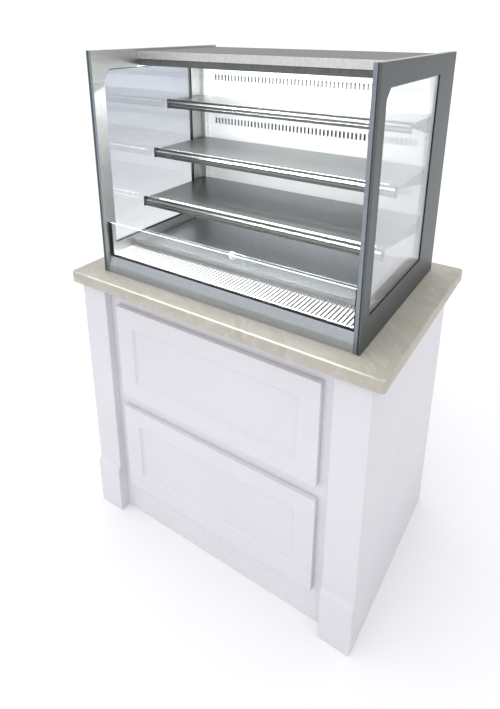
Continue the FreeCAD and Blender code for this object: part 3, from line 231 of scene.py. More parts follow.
def enamel(name, tone, rough=0.35, peel=420.0, highlitEdgeTone=None, metallic=0.0, coat=0.0):
    # sprayed or baked colour with a fine orange peel
    material, tree, shader = newMaterial(name, Metallic=metallic, Coat_Weight=coat)
    grain = useGroup(tree, surfaceGrain, Stretch=(peel, peel, peel), Cloud=2.2)
    wearHighlight = useGroup(tree, rubbedEdgeAndHighlight, Amount=0.35, Patch=70.0)
    dust = useGroup(tree, restingDust, Amount=0.08)
    base = linear(*tone)
    shade = tuple(channel * 0.955 for channel in base[:3]) + (1.0,)
    clouded = mixColour(tree, grain.outputs["Cloud"], base, shade)
    # convex edges lightened: edge wear and a painted highlight
    rubbedHighlit = linear(*(highlitEdgeTone or tuple(min(255, part + 12) for part in tone)))
    wornHighlit = mixColour(tree, wearHighlight.outputs["Mask"], clouded, rubbedHighlit)
    dusty = mixColour(tree, dust.outputs["Mask"], wornHighlit, linear(186, 182, 176))
    tree.links.new(dusty, shader.inputs["Base Color"])
    tree.links.new(remap(tree, grain.outputs["Cloud"], rough - 0.04, rough + 0.06),
                   shader.inputs["Roughness"])
    addBump(tree, shader, grain.outputs["Grain"], 0.1, 0.0002)
    return material


def clearSheet(name, tint, rough=0.02, ior=1.5, shade=None, low=0.0, high=1.0):
    # glass or acrylic with faint wiping marks in the roughness; shade is a painted shade, a darker tint that
    # grows from low to high, streaked with painted reflections
    material, tree, shader = newMaterial(name, Metallic=0.0, Transmission_Weight=1.0, IOR=ior)
    shader.inputs["Base Color"].default_value = linear(*tint)
    grain = useGroup(tree, surfaceGrain, Stretch=(6.0, 2.5, 22.0), Cloud=5.0)
    tree.links.new(remap(tree, grain.outputs["Cloud"], rough, rough + 0.03), shader.inputs["Roughness"])
    if shade:
        place = addNode(tree, "ShaderNodeTexCoord")
        split = addNode(tree, "ShaderNodeSeparateXYZ")
        tree.links.new(place.outputs["Object"], split.inputs[0])
        # painted reflection streaks from the grain, on top of a painted shade that darkens towards the top
        streaked = addNode(tree, "ShaderNodeMath", {1: 0.12}, operation="MULTIPLY_ADD")
        tree.links.new(grain.outputs["Grain"], streaked.inputs[0])
        tree.links.new(remap(tree, split.outputs["Z"], 0.0, 0.88, low, high), streaked.inputs[2])
        tree.links.new(mixColour(tree, streaked.outputs[0], linear(*tint), linear(*shade)),
                       shader.inputs["Base Color"])
    return material


def glowing(name, tone, strength):
    material, tree, shader = newMaterial(name, Roughness=0.4, Emission_Strength=strength)
    shader.inputs["Base Color"].default_value = linear(245, 247, 250)
    grain = useGroup(tree, surfaceGrain, Stretch=(90.0, 20.0, 20.0), Cloud=4.0)
    base = linear(*tone)
    dim = tuple(channel * 0.9 for channel in base[:3]) + (1.0,)
    tree.links.new(mixColour(tree, grain.outputs["Cloud"], base, dim), shader.inputs["Emission Color"])
    return material


def makeStone():
    stoneSettings = {"light": (189, 185, 175), "vein": (180, 174, 162), "pale": (198, 193, 184),
                     "turn": 28.0}
    material, tree, shader = newMaterial("greigeStone")
    links = tree.links
    place = addNode(tree, "ShaderNodeTexCoord")
    turned = addNode(tree, "ShaderNodeMapping",
                     {"Rotation": (0.0, 0.0, math.radians(stoneSettings["turn"]))})
    links.new(place.outputs["Object"], turned.inputs["Vector"])
    warp = addNode(tree, "ShaderNodeTexNoise", {"Scale": 3.0, "Detail": 4.0})
    links.new(turned.outputs["Vector"], warp.inputs["Vector"])
    drift = addNode(tree, "ShaderNodeVectorMath", operation="MULTIPLY_ADD")
    links.new(warp.outputs["Color"], drift.inputs[0])
    drift.inputs[1].default_value = (0.25, 0.25, 0.25)
    links.new(turned.outputs["Vector"], drift.inputs[2])
    pulled = addNode(tree, "ShaderNodeMapping", {"Scale": (3.4, 26.0, 18.0)})
    links.new(drift.outputs[0], pulled.inputs["Vector"])
    veins = addNode(tree, "ShaderNodeTexNoise", {"Scale": 1.4, "Detail": 9.0, "Roughness": 0.62})
    links.new(pulled.outputs["Vector"], veins.inputs["Vector"])
    thin = addNode(tree, "ShaderNodeTexNoise", {"Scale": 2.6, "Detail": 3.0, "Roughness": 0.5})
    links.new(pulled.outputs["Vector"], thin.inputs["Vector"])
    grain = useGroup(tree, surfaceGrain, Stretch=(620.0, 620.0, 620.0), Cloud=3.5)
    wearHighlight = useGroup(tree, rubbedEdgeAndHighlight, Amount=0.6, Patch=30.0)
    body = mixColour(tree, remap(tree, veins.outputs["Fac"], 0.0, 1.0, 0.38, 0.66),
                     linear(*stoneSettings["light"]), linear(*stoneSettings["vein"]))
    streaked = mixColour(tree, remap(tree, thin.outputs["Fac"], 0.0, 0.7, 0.55, 0.62),
                         body, linear(*stoneSettings["pale"]))
    speckled = mixColour(tree, remap(tree, grain.outputs["Grain"], 0.0, 0.16), streaked,
                         linear(150, 143, 130))
    # convex edges lightened: edge wear and a painted highlight on the slab's edges
    wornHighlit = mixColour(tree, wearHighlight.outputs["Mask"], speckled, linear(214, 210, 202))
    links.new(wornHighlit, shader.inputs["Base Color"])
    links.new(remap(tree, grain.outputs["Grain"], 0.46, 0.58), shader.inputs["Roughness"])
    addBump(tree, shader, grain.outputs["Grain"], 0.06, 0.0002)
    return material


def makePlywood():
    material, tree, shader = newMaterial("birchFloor")
    grain = useGroup(tree, surfaceGrain, Stretch=(2.5, 55.0, 55.0), Cloud=6.0)
    body = mixColour(tree, grain.outputs["Grain"], linear(216, 186, 142), linear(196, 160, 112))
    tree.links.new(mixColour(tree, remap(tree, grain.outputs["Cloud"], 0.0, 0.4), body,
                            linear(178, 140, 96)),
                   shader.inputs["Base Color"])
    tree.links.new(remap(tree, grain.outputs["Grain"], 0.45, 0.6), shader.inputs["Roughness"])
    addBump(tree, shader, grain.outputs["Grain"], 0.2, 0.0004)
    return material


def makeZinc():
    # spangled zinc plate
    material, tree, shader = newMaterial("spangledZinc", Metallic=1.0)
    place = addNode(tree, "ShaderNodeTexCoord")
    flakes = addNode(tree, "ShaderNodeTexVoronoi", {"Scale": 45.0})
    tree.links.new(place.outputs["Object"], flakes.inputs["Vector"])
    split = addNode(tree, "ShaderNodeSeparateColor")
    tree.links.new(flakes.outputs["Color"], split.inputs[0])
    tree.links.new(mixColour(tree, split.outputs[0], linear(168, 172, 174), linear(136, 141, 144)),
                   shader.inputs["Base Color"])
    tree.links.new(remap(tree, split.outputs[1], 0.32, 0.5), shader.inputs["Roughness"])
    return material


def makeFoam():
    material, tree, shader = newMaterial("pouredFoam")
    grain = useGroup(tree, surfaceGrain, Stretch=(240.0, 240.0, 240.0), Cloud=8.0)
    tree.links.new(mixColour(tree, grain.outputs["Cloud"], linear(232, 214, 160), linear(214, 190, 128)),
                   shader.inputs["Base Color"])
    tree.links.new(remap(tree, grain.outputs["Grain"], 0.75, 0.95), shader.inputs["Roughness"])
    addBump(tree, shader, grain.outputs["Grain"], 0.5, 0.001)
    return material


print("finishes")
greigeStone = makeStone()
whiteLacquer = enamel("whiteLacquer", (219, 218, 224), 0.4, 520.0, (233, 232, 236))
# one frame steel in three tones: lighter inner faces as painted light, darker outer faces as painted shade, a
# pale bluish front-edge band as painted reflection
innerSteelPaintedLight = brushedSteel("innerSteelPaintedLight", (202, 203, 200), (26.0, 420.0, 26.0), 0.38, 0.2)
outerSteelPaintedShade = brushedSteel("outerSteelPaintedShade", (100, 105, 106), (26.0, 420.0, 26.0), 0.42, 0.12, metallic=0.75)
edgeBandPaintedReflection = brushedSteel("edgeBandPaintedReflection", (142, 150, 158), (260.0, 260.0, 3.0), 0.38, 0.15)
# one hood steel in two tones: the top darkened as painted shade, the front fascia lightened as painted light
hoodTopPaintedShade = brushedSteel("hoodTopPaintedShade", (112, 112, 108), (420.0, 3.0, 3.0), 0.42, 0.3, 2.0, metallic=0.5)
fasciaPaintedLight = brushedSteel("fasciaPaintedLight", (220, 220, 218), (520.0, 4.0, 4.0), 0.42, 0.2, 2.4)
apronSteel = brushedSteel("apronSteel", (190, 194, 201), (3.0, 300.0, 420.0), 0.32, 0.2, 2.6)
panSteel = brushedSteel("panSteel", (196, 198, 200), (3.0, 320.0, 320.0), 0.36)
hardwareSteel = brushedSteel("hardwareSteel", (178, 180, 182), (160.0, 160.0, 6.0), 0.28)
railChrome = brushedSteel("railChrome", (112, 114, 110), (2.0, 260.0, 260.0), 0.22, 0.2)
# a lighter copy of the rail steel as a painted highlight
railPaintedHighlight = brushedSteel("railPaintedHighlight", (150, 152, 150), (2.0, 260.0, 260.0), 0.3, 0.15)
shelfChrome = brushedSteel("shelfChrome", (150, 152, 151), (3.0, 200.0, 200.0), 0.3, 0.2)
darkCoat = enamel("darkCoat", (62, 64, 63), 0.42, 380.0, (96, 97, 98))
# dark coat for the strip under the fascia, standing in for painted shade on the fascia's lower return
valancePaintedShade = enamel("valancePaintedShade", (84, 88, 87), 0.4, 380.0, (120, 122, 122))
blackRubber = enamel("blackRubber", (24, 24, 25), 0.62, 260.0, (44, 44, 46))
blackMoulding = enamel("blackMoulding", (32, 33, 35), 0.45, 340.0, (66, 67, 70))
whiteEnamel = enamel("whiteEnamel", (236, 237, 238), 0.28, 300.0)
grilleEnamel = enamel("grilleEnamel", (220, 219, 216), 0.3, 300.0)
railAnodised = brushedSteel("railAnodised", (176, 178, 178), (3.0, 260.0, 260.0), 0.36, 0.2)
finAluminium = brushedSteel("finAluminium", (196, 198, 198), (60.0, 60.0, 8.0), 0.35)
unitEnamel = enamel("unitEnamel", (30, 31, 33), 0.25, 280.0, (80, 80, 82), coat=0.3)
fanMoulding = enamel("fanMoulding", (42, 44, 47), 0.4, 300.0)
drawnCopper = brushedSteel("drawnCopper", (196, 122, 84), (90.0, 90.0, 6.0), 0.28)
paneGlass = clearSheet("paneGlass", (250, 251, 253))
# left end pane: painted shade darkening towards the top, with painted reflection streaks
paintedShadeGlass = clearSheet("paintedShadeGlass", (252, 252, 253), shade=(210, 213, 218), low=1.16, high=1.72)
guardGlass = clearSheet("guardGlass", (250, 252, 252))
stopAcrylic = clearSheet("stopAcrylic", (250, 252, 253), 0.015, 1.45)
groundEdge = enamel("groundEdge", (206, 226, 222), 0.3, 500.0, (232, 242, 240))
acrylicEdge = enamel("acrylicEdge", (196, 204, 209), 0.25, 500.0, (236, 242, 246))
lampLens = glowing("lampLens", (246, 250, 255), 7.0)
displayGlow = glowing("displayGlow", (255, 70, 40), 3.0)
birchFloor = makePlywood()
spangledZinc = makeZinc()
pouredFoam = makeFoam()


# making pieces

def finishPiece(name, bm, body, materials, replaced=()):
    # turns a bmesh into a piece that rides on a body
    mesh = bpy.data.meshes.new(name)
    bm.to_mesh(mesh)
    bm.free()
    for material in materials:
        mesh.materials.append(material)
    piece = bpy.data.objects.new(name, mesh)
    bpy.context.scene.collection.objects.link(piece)
    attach(piece, body)
    if replaced:
        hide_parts(*replaced)
    return piece


def smoothCurves(bm, limit=30.0):
    # facets of a round surface shade smooth, flat faces and sharp edges stay crisp
    turn = math.radians(limit)
    slight = math.radians(0.5)
    for edge in bm.edges:
        edge.smooth = not edge.is_manifold or edge.calc_face_angle(0.0) < turn
    for face in bm.faces:
        face.smooth = any(edge.is_manifold and slight < edge.calc_face_angle(0.0) < turn
                          for edge in face.edges)


def roundEdges(bm, width, segments=2, limit=30.0, only=None):
    # bevels every edge sharper than the limit, and shades the new strips smooth
    turn = math.radians(limit)
    sharp = [edge for edge in bm.edges
             if edge.is_manifold and edge.calc_face_angle(0.0) > turn and (only is None or only(edge))]
    made = bmesh.ops.bevel(bm, geom=sharp, offset=width, offset_type="OFFSET", affect="EDGES",
                           segments=segments, profile=0.5, material=-1, clamp_overlap=True)
    for face in made["faces"]:
        face.smooth = True


def mergedCopy(node):
    # a CAD node's shape with its doubles merged and flat triangles joined
    bm = bmesh.new()
    bm.from_mesh(nodes[node].data)
    bmesh.ops.remove_doubles(bm, verts=bm.verts, dist=0.00001)
    bmesh.ops.dissolve_limit(bm, angle_limit=math.radians(0.5), verts=bm.verts, edges=bm.edges)
    for face in bm.faces:
        face.material_index = 0
    return bm


def dressNode(node, name, materials, width=0.001, segments=2, limit=30.0, paint=None, only=None):
    # rounded edges on a CAD node's own shape; paint picks a face's material, only picks the edges
    bm = mergedCopy(node)
    smoothCurves(bm, limit)
    if paint:
        for face in bm.faces:
            face.material_index = paint(face)
    if width:
        roundEdges(bm, width, segments, limit, only)
    return finishPiece(name, bm, nodes[node]["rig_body"], materials, [node])


def block(bm, low, high):
    made = bmesh.ops.create_cube(bm, size=1.0)
    size, centre = Vector(high) - Vector(low), (Vector(high) + Vector(low)) / 2
    bmesh.ops.scale(bm, vec=size, verts=made["verts"])
    bmesh.ops.translate(bm, vec=centre, verts=made["verts"])
    return made["verts"]


def profileRun(bm, outline, along, start, end):
    # one face from an outline, pulled along an axis; outline points are the other two axes in order
    spread = {"x": lambda u, v: (start, u, v), "y": lambda u, v: (u, start, v),
              "z": lambda u, v: (u, v, start)}
    face = bm.faces.new([bm.verts.new(spread[along](u, v)) for u, v in outline])
    grown = bmesh.ops.extrude_face_region(bm, geom=[face])
    moved = [item for item in grown["geom"] if isinstance(item, bmesh.types.BMVert)]
    step = Vector([end - start if axis == along else 0.0 for axis in "xyz"])
    bmesh.ops.translate(bm, vec=step, verts=moved)
    bmesh.ops.recalc_face_normals(bm, faces=bm.faces)


def lathe(bm, outline, centre, axis, steps=24):
    # outline points are (radius, height) along the axis
    start = bm.verts[:]
    known = set(start)
    turned = Vector(axis).to_track_quat("Z", "Y").to_matrix().to_4x4()
    placeIt = Matrix.Translation(centre) @ turned
    line = [bm.verts.new(placeIt @ Vector((radius, 0.0, height))) for radius, height in outline]
    edges = [bm.edges.new(pair) for pair in zip(line, line[1:])]
    bmesh.ops.spin(bm, geom=line + edges, cent=centre, axis=axis, angle=2 * math.pi, steps=steps,
                   use_merge=True, use_duplicate=False)
    fresh = [vert for vert in bm.verts if vert not in known]
    bmesh.ops.remove_doubles(bm, verts=fresh, dist=0.000002)
    bmesh.ops.recalc_face_normals(bm, faces=bm.faces)


# counter slab and cabinet

def makeCounter():
    dressNode("countertop", "counter_slab", [greigeStone], 0.0015, 2)


def makeFrontPanel(node):
    panelSettings = {"border": 0.072, "slope": 0.007, "sink": 0.0078, "edge": 0.0022, "innerEdge": 0.0012,
                     "rim": 0.004}
    low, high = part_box(node)
    bm = bmesh.new()
    block(bm, low, high)
    face = next(face for face in bm.faces if face.normal.y < -0.9)
    bmesh.ops.inset_region(bm, faces=[face], thickness=panelSettings["border"], depth=0.0,
                           use_even_offset=True)
    bmesh.ops.inset_region(bm, faces=[face], thickness=panelSettings["slope"],
                           depth=-panelSettings["sink"], use_even_offset=True)
    smoothCurves(bm)
    rim = panelSettings["rim"]
    outside = {edge for edge in bm.edges if any(
        abs(vert.co.x - low.x) < rim or abs(vert.co.x - high.x) < rim for vert in edge.verts)}
    roundEdges(bm, panelSettings["innerEdge"], 2, 20.0, lambda edge: edge not in outside)
    roundEdges(bm, panelSettings["edge"], 3, 60.0, lambda edge: all(
        abs(vert.co.x - low.x) < rim or abs(vert.co.x - high.x) < rim
        or abs(vert.co.z - low.z) < rim or abs(vert.co.z - high.z) < rim for vert in edge.verts))
    finishPiece(node + "_face", bm, nodes[node]["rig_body"], [whiteLacquer], [node])


def makePilaster(side, keepEdge):
    # square post with a sloping-topped foot block on its front, cut as one outline
    postSettings = {"proud": 0.012, "footTop": 0.218, "edge": 0.0025}
    node = f"pilaster_{side}"
    low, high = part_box(node)
    face = low.y + postSettings["proud"]
    foot = postSettings["footTop"]
    bm = bmesh.new()
    profileRun(bm, [(low.y, low.z), (high.y, low.z), (high.y, high.z), (face, high.z), (face, foot),
                    (low.y, foot - postSettings["proud"])], "x", low.x, high.x)
    smoothCurves(bm)
    roundEdges(bm, postSettings["edge"], 3, only=keepEdge)
    finishPiece(f"pilaster_post_{side}", bm, nodes[node]["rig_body"], [whiteLacquer], [node])


def makeCabinet():
    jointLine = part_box("cabinet_side_left")[0].y
    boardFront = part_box("front_board")[0].y

    def awayFromJoint(edge):
        # edges on the joint between post and side board stay closed
        return any(abs(vert.co.y - jointLine) > 0.0005 for vert in edge.verts)

    for side in ("left", "right"):
        makePilaster(side, awayFromJoint)
        dressNode(f"cabinet_side_{side}", f"side_board_{side}", [whiteLacquer], 0.0012, 2,
                  only=awayFromJoint)
        dressNode(f"cabinet_door_{side}", f"service_door_{side}", [whiteLacquer], 0.0009, 2)
        dressNode(f"door_pull_{side}", f"door_bar_{side}", [hardwareSteel], 0.0008, 2)
        dressNode(f"hinge_door_leaves_{side}", f"door_hinge_{side}", [hardwareSteel], 0.0004, 1)
    dressNode("front_board", "front_back_board", [whiteLacquer], 0.0,
              only=lambda edge: any(vert.co.y > boardFront + 0.001 for vert in edge.verts))
    dressNode("cabinet_back_frame", "rear_frame", [whiteLacquer], 0.0015, 2)
    dressNode("cabinet_floor", "bottom_board", [birchFloor], 0.001, 1)
    dressNode("hinge_frame_leaves", "frame_hinges", [hardwareSteel], 0.0004, 1)
    dressNode("power_inlet", "inlet_socket", [blackMoulding], 0.0004, 1)
    makeFrontPanel("upper_front_panel")
    makeFrontPanel("lower_front_panel")


# display case

def makeEndFrames():
    for side, sign in (("left", -1), ("right", 1)):
        low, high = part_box(f"end_frame_{side}")
        groove = (low.x + high.x) / 2 + sign * 0.0015

        def layer(face, groove=groove, sign=sign, front=low.y):
            # outer skin in a darkened copy of the steel as painted shade, inner skin in a lighter copy as
            # painted light, and the pale inner band of the front edge as a painted reflection
            middle = face.calc_center_median()
            if (middle.x - groove) * sign > 0:
                return 0
            return 2 if middle.y < front + 0.006 else 1

        dressNode(f"end_frame_{side}", f"end_frame_shell_{side}", [outerSteelPaintedShade, innerSteelPaintedLight, edgeBandPaintedReflection],
                  0.0012, 2,
                  paint=layer)


def makeCase():
    makeEndFrames()
    # the left pane gets the painted shade and reflection streaks, the right pane stays clear
    dressNode("end_glass", "end_panes", [paneGlass, paintedShadeGlass], 0.0004, 1,
              paint=lambda face: 1 if face.calc_center_median().x < 0 else 0)
    dressNode("end_glass_spacers", "pane_spacers", [blackRubber], 0.0)
    dressNode("front_apron", "apron_skirt", [apronSteel], 0.0009, 2, limit=8.0)
    dressNode("guard_channel", "glazing_channel", [blackRubber], 0.0007, 2)
    # the hood's top gets the darkened copy as painted shade, its forward-facing fascia the lighter copy as
    # painted light
    dressNode("hood_panel", "hood_skin", [hoodTopPaintedShade, fasciaPaintedLight], 0.0012, 2,
              paint=lambda face: 1 if face.normal.y < -0.5 else 0)
    # a dark strip hung under the fascia as painted shade
    dressNode("canopy_valance", "canopy_shade_strip", [valancePaintedShade], 0.0004, 1)
    dressNode("hood_underside", "hood_lining", [whiteEnamel], 0.0004, 1)
    dressNode("air_honeycomb", "air_outlet", [blackMoulding], 0.0)
    dressNode("back_panel", "rear_panel", [panSteel], 0.0012, 2)
    dressNode("rear_duct_panel", "duct_wall", [whiteEnamel], 0.0)
    dressNode("front_guard_glass", "guard_pane", [guardGlass, groundEdge], 0.0008, 2,
              paint=lambda face: 1 if face.normal.z > 0.9 else 0)
    makeScrews()


def makeScrews():
    screwSettings = {"radius": 0.005, "rise": 0.0024, "recess": 0.0022}
    node = nodes["back_panel_screws"]
    bm = mergedCopy("back_panel_screws")
    centres = []
    for face in bm.faces:
        if face.normal.y > 0.9:
            centres.append(face.calc_center_median())
    bm.free()
    bm = bmesh.new()
    radius, rise = screwSettings["radius"], screwSettings["rise"]
    outline = [(0.0, rise * 0.55), (screwSettings["recess"], rise * 0.62), (screwSettings["recess"], rise),
               (radius * 0.7, rise * 0.92), (radius * 0.95, rise * 0.55), (radius, 0.0), (0.0, 0.0)]
    for centre in centres:
        lathe(bm, outline, (centre.x, centre.y - 0.0025, centre.z), (0, 1, 0), 16)
    smoothCurves(bm, 40.0)
    finishPiece("panel_screws", bm, node["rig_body"], [hardwareSteel],
                ["back_panel_screws"])


# shelves and deck

def comb(bm, low, size, pitch, count):
    # a row of small teeth along x
    for step in range(count):
        start = Vector(low) + Vector((step * pitch, 0, 0))
        block(bm, start, start + Vector(size))


def makeShelfRails():
    railSettings = {"deep": 0.010, "drop": 0.028, "rise": 0.005, "grooveTop": 0.0135, "groove": 0.0045,
                    "sink": 0.0018, "inset": 0.006}
    deep, drop, rise = railSettings["deep"], railSettings["drop"], railSettings["rise"]
    start, groove, sink = railSettings["grooveTop"], railSettings["groove"], railSettings["sink"]
    bm = bmesh.new()
    for level in shelfLevels:
        low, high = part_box(f"shelf_{level}")
        front, top = low.y, high.z
        outline = [(-deep, -drop), (0, -drop), (0, rise), (-0.003, rise), (-0.003, -0.003), (-deep, -0.008),
                   (-deep, -start), (sink - deep, -start - 0.0008), (sink - deep, -start - groove),
                   (-deep, -start - groove - 0.0008)]
        profileRun(bm, [(front + y, top + z) for y, z in outline], "x",
                   low.x + railSettings["inset"], high.x - railSettings["inset"])
    smoothCurves(bm)
    # up-facing faces and the groove's back face get the lighter copy of the rail steel as a painted highlight
    for face in bm.faces:
        middle = face.calc_center_median()
        sunk = any(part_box(f"shelf_{level}")[0].y - deep + sink * 0.9 < middle.y
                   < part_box(f"shelf_{level}")[0].y - deep + sink * 1.1 for level in shelfLevels)
        face.material_index = 1 if sunk or face.normal.z > 0.5 else 0
    roundEdges(bm, 0.0004, 2)
    finishPiece("shelf_front_rails", bm, "case", [railChrome, railPaintedHighlight],
                ["shelf_rails"])


def makeDeckRail():
    toothSettings = {"pitch": 0.010, "wide": 0.005, "deep": 0.003, "tall": 0.009}
    low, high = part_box("deck_front_rail")
    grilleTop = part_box("return_air_grille")[1].z
    dressNode("deck_front_rail", "stop_rail", [railAnodised], 0.0004, 1)
    bm = bmesh.new()
    count = int((high.x - low.x - 0.004) / toothSettings["pitch"])
    comb(bm, (low.x + 0.003, low.y - toothSettings["deep"], grilleTop + 0.0005),
         (toothSettings["wide"], toothSettings["deep"] + 0.0003, toothSettings["tall"]),
         toothSettings["pitch"], count)
    smoothCurves(bm)
    finishPiece("stop_rail_teeth", bm, "case", [railAnodised])


def makeShelves():
    for level in shelfLevels:
        dressNode(f"shelf_{level}", f"shelf_plate_{level}", [shelfChrome], 0.0)
    makeShelfRails()
    dressNode("shelf_end_caps", "rail_caps", [blackMoulding], 0.0008, 2)
    dressNode("shelf_brackets", "shelf_arms", [darkCoat], 0.0005, 1)
    dressNode("shelf_uprights", "slotted_uprights", [whiteEnamel], 0.0)
    dressNode("light_strips", "lamp_strips", [lampLens], 0.0015, 2)
    dressNode("return_air_grille", "return_grille_plate", [grilleEnamel], 0.0)
    makeDeckRail()
    dressNode("deck_bars", "deck_cross_bars", [panSteel], 0.0008, 1)
    for side in ("left", "right"):
        dressNode(f"deck_pan_{side}", f"deck_tray_{side}", [panSteel], 0.0012, 2)
    makeStops()


def makeStops():
    clipSettings = {"half": 0.009, "deep": 0.011, "tall": 0.02, "across": -0.026, "proud": 0.002}
    bm = mergedCopy("product_stops")
    for face in bm.faces:
        face.material_index = 1 if abs(face.normal.x) > 0.9 or face.normal.z > 0.9 else 0
    roundEdges(bm, 0.0003, 1)
    finishPiece("clear_stops", bm, "case", [stopAcrylic, acrylicEdge],
                ["product_stops"])
    low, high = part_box("product_stops")
    bm = bmesh.new()
    middle = (low.y + high.y) / 2
    across, half, deep = clipSettings["across"], clipSettings["half"], clipSettings["deep"]
    block(bm, (across - half, middle - deep / 2, high.z - clipSettings["tall"]),
          (across + half, middle + deep / 2, high.z + clipSettings["proud"]))
    smoothCurves(bm)
    roundEdges(bm, 0.002, 3)
    finishPiece("stop_clip", bm, "case", [whiteEnamel])


# cooling equipment and controls

def makeCooling():
    plain = {
        "well_shell": spangledZinc, "well_liner": panSteel, "insulation": pouredFoam,
        "evaporator_fan_deck": spangledZinc, "evaporator_fan_left": fanMoulding,
        "evaporator_fan_right": fanMoulding, "evaporator_coil": finAluminium,
        "condensing_unit_frame": unitEnamel, "compressor": unitEnamel, "condenser_coil": finAluminium,
        "condenser_fan": fanMoulding, "refrigerant_lines": drawnCopper,
    }
    for node, material in plain.items():
        dressNode(node, node + "_shape", [material], 0.0)


def makeDisplay():
    # smoked lens filling the box's recess, with two lit bars behind its face
    displaySettings = {"left": 0.0205, "wide": 0.071, "low": 0.0225, "tall": 0.035, "under": 0.0012,
                       "thick": 0.0007, "bar": (0.014, 0.0004, 0.003), "bars": (0.018, 0.040)}
    low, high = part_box("control_housing")
    front = high.y - displaySettings["under"]
    left, bottom = low.x + displaySettings["left"], low.z + displaySettings["low"]
    bm = bmesh.new()
    block(bm, (left, front - displaySettings["thick"], bottom),
          (left + displaySettings["wide"], front, bottom + displaySettings["tall"]))
    smoothCurves(bm)
    roundEdges(bm, 0.0003, 2)
    finishPiece("display_lens", bm, "case", [blackMoulding])
    bm = bmesh.new()
    middle = bottom + displaySettings["tall"] / 2
    for across in displaySettings["bars"]:
        start = Vector((left + across, front - 0.0001, middle))
        block(bm, start, start + Vector(displaySettings["bar"]))
    smoothCurves(bm)
    finishPiece("display_bars", bm, "case", [displayGlow])


def makeKnobMarks():
    # a pointer line on the knob's grip, and ticks on the box along the knob's travel
    markSettings = {"half": 0.0009, "near": 0.004, "far": 0.0155, "raise": 0.0003, "ring": 0.0215,
                    "length": 0.004, "ticks": 10, "travel": 270.0}
    low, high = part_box("temperature_knob")
    centre = Vector(((low.x + high.x) / 2, high.y, (low.z + high.z) / 2))
    half, proud = markSettings["half"], markSettings["raise"]
    bm = bmesh.new()
    block(bm, centre + Vector((-half, -proud, markSettings["near"])),
          centre + Vector((half, proud, markSettings["far"])))
    smoothCurves(bm)
    finishPiece("knob_pointer", bm, nodes["temperature_knob"]["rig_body"],
                [whiteEnamel])
    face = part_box("control_housing")[1].y
    hub = Vector((centre.x, face, centre.z))
    bm = bmesh.new()
    for step in range(markSettings["ticks"]):
        turned = math.radians(step * markSettings["travel"] / (markSettings["ticks"] - 1))
        made = block(bm, hub + Vector((-half / 2, -proud, markSettings["ring"])),
                     hub + Vector((half / 2, proud, markSettings["ring"] + markSettings["length"])))
        bmesh.ops.rotate(bm, verts=made, cent=hub, matrix=Matrix.Rotation(turned, 3, "Y"))
    smoothCurves(bm)
    finishPiece("knob_scale", bm, "case", [whiteEnamel])


def makeControls():
    dressNode("control_housing", "control_box", [blackMoulding], 0.0006, 2)
    dressNode("power_rocker", "rocker_paddle", [blackMoulding], 0.001, 2)
    dressNode("temperature_knob", "knob_cap", [blackMoulding], 0.001, 2)
    makeDisplay()
    makeKnobMarks()


# floor, light and camera

def makeStage():
    stageSettings = {"half": 30.0, "tone": (246, 246, 247)}
    bm = bmesh.new()
    bmesh.ops.create_grid(bm, x_segments=1, y_segments=1, size=stageSettings["half"])
    mesh = bpy.data.meshes.new("studio_floor")
    bm.to_mesh(mesh)
    bm.free()
    material, tree, shader = newMaterial("paleFloor", Roughness=0.85)
    grain = useGroup(tree, surfaceGrain, Stretch=(9.0, 9.0, 9.0), Cloud=1.0)
    tone = linear(*stageSettings["tone"])
    tree.links.new(mixColour(tree, grain.outputs["Cloud"], tone,
                             tuple(part * 0.995 for part in tone[:3]) + (1.0,)),
                   shader.inputs["Base Color"])
    mesh.materials.append(material)
    floor = bpy.data.objects.new("studio_floor", mesh)
    bpy.context.scene.collection.objects.link(floor)


def makeWorld():
    # even white all round, brighter overhead, a little dimmer on the right
    worldSettings = {"overhead": 1.22, "level": 0.78, "right": 0.8, "seen": 1.05}
    world = bpy.data.worlds.new("studio")
    world.use_nodes = True
    tree = world.node_tree
    tree.nodes.clear()
    place = addNode(tree, "ShaderNodeTexCoord")

    def facing(direction, low, high, start, end):
        turned = addNode(tree, "ShaderNodeVectorMath", operation="DOT_PRODUCT")
        turned.inputs[1].default_value = Vector(direction).normalized()
        tree.links.new(place.outputs["Generated"], turned.inputs[0])
        return remap(tree, turned.outputs["Value"], low, high, start, end)

    level = addNode(tree, "ShaderNodeMath", operation="MULTIPLY")
    tree.links.new(facing((0, 0, 1), worldSettings["level"], worldSettings["overhead"], 0.0, 0.9),
                   level.inputs[0])
    tree.links.new(facing((1, 0.3, 0), 1.0, worldSettings["right"], 0.0, 0.8), level.inputs[1])
    around = addNode(tree, "ShaderNodeBackground", {"Color": (0.985, 0.99, 1.0, 1.0)})
    tree.links.new(level.outputs[0], around.inputs["Strength"])
    seen = addNode(tree, "ShaderNodeBackground", {"Color": (1.0, 1.0, 1.0, 1.0),
                                                  "Strength": worldSettings["seen"]})
    ray = addNode(tree, "ShaderNodeLightPath")
    choose = addNode(tree, "ShaderNodeMixShader")
    tree.links.new(ray.outputs["Is Camera Ray"], choose.inputs[0])
    tree.links.new(around.outputs[0], choose.inputs[1])
    tree.links.new(seen.outputs[0], choose.inputs[2])
    out = addNode(tree, "ShaderNodeOutputWorld")
    tree.links.new(choose.outputs[0], out.inputs["Surface"])
    bpy.context.scene.world = world


def addLamp(name, kind, energy, tone, **settings):
    lamp = bpy.data.lights.new(name, kind)
    lamp.energy = energy
    lamp.color = tone
    for key, value in settings.items():
        setattr(lamp, key, value)
    holder = bpy.data.objects.new(name, lamp)
    bpy.context.scene.collection.objects.link(holder)
    return holder


def aim(holder, place, target):
    holder.location = place
    holder.rotation_mode = "QUATERNION"
    holder.rotation_quaternion = (Vector(target) - Vector(place)).to_track_quat("-Z", "Y")


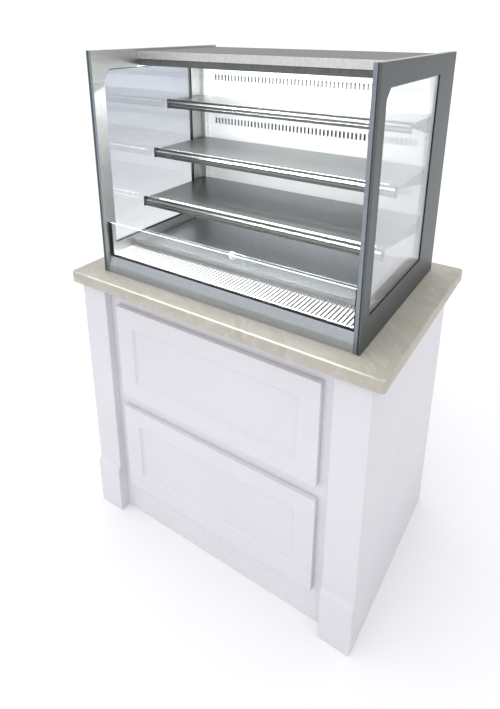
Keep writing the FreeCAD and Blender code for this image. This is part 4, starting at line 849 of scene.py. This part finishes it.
def makeLight():
    makeWorld()
    lampSettings = {"sun": 0.55, "sunSpread": 70.0, "canopy": 14.0, "shelf": 2.4, "long": 0.86, "wide": 0.012,
                    "canopyBack": 0.035, "canopyDrop": 0.004, "shelfBack": 0.036, "shelfDrop": 0.014,
                    "tone": (0.96, 0.98, 1.0)}
    sun = addLamp("window_light", "SUN", lampSettings["sun"], (1.0, 0.995, 0.98),
                  angle=math.radians(lampSettings["sunSpread"]))
    aim(sun, (-1.2, -2.0, 5.0), (0, 0, 0.6))
    # lamps in the case: canopy first, then one under each shelf
    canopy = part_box("air_honeycomb")[0]
    lamps = [("canopy_lamp", canopy.y + lampSettings["canopyBack"], canopy.z - lampSettings["canopyDrop"],
              lampSettings["canopy"])]
    for level in shelfLevels:
        low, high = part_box(f"shelf_{level}")
        lamps.append((f"{level}_shelf_lamp", low.y + lampSettings["shelfBack"],
                      high.z - lampSettings["shelfDrop"], lampSettings["shelf"]))
    for name, depth, height, energy in lamps:
        lamp = addLamp(name, "AREA", energy, lampSettings["tone"], shape="RECTANGLE",
                       size=lampSettings["long"], size_y=lampSettings["wide"])
        aim(lamp, (0, depth, height), (0, depth + 0.02, height - 1))


def makeCamera():
    cameraSettings = {"azimuth": 33.32, "elevation": 18.74, "roll": 0.17, "focal": 547 / 709 * 36,
                      "shift": -(354.5 - 210) / 709, "place": (0.957, -1.581, 1.921)}
    azimuth, elevation = math.radians(cameraSettings["azimuth"]), math.radians(cameraSettings["elevation"])
    back = Vector((math.sin(azimuth) * math.cos(elevation), -math.cos(azimuth) * math.cos(elevation),
                   math.sin(elevation)))
    right = (-back).cross(Vector((0, 0, 1))).normalized()
    up = right.cross(-back)
    turn = Matrix((right, up, back)).transposed().to_4x4()
    lens = bpy.data.cameras.new("studio_camera")
    lens.sensor_width = 36
    lens.lens = cameraSettings["focal"]
    lens.shift_y = cameraSettings["shift"]
    holder = bpy.data.objects.new("studio_camera", lens)
    bpy.context.scene.collection.objects.link(holder)
    holder.matrix_world = (Matrix.Translation(cameraSettings["place"]) @ turn
                           @ Matrix.Rotation(math.radians(cameraSettings["roll"]), 4, "Z"))
    bpy.context.scene.camera = holder


print("counter and cabinet")
makeCounter()
makeCabinet()
print("display case")
makeCase()
print("shelves and deck")
makeShelves()
print("cooling and controls")
makeCooling()
makeControls()
print("stage, light and camera")
makeStage()
makeLight()
makeCamera()
bpy.context.scene.view_settings.view_transform = "Standard"
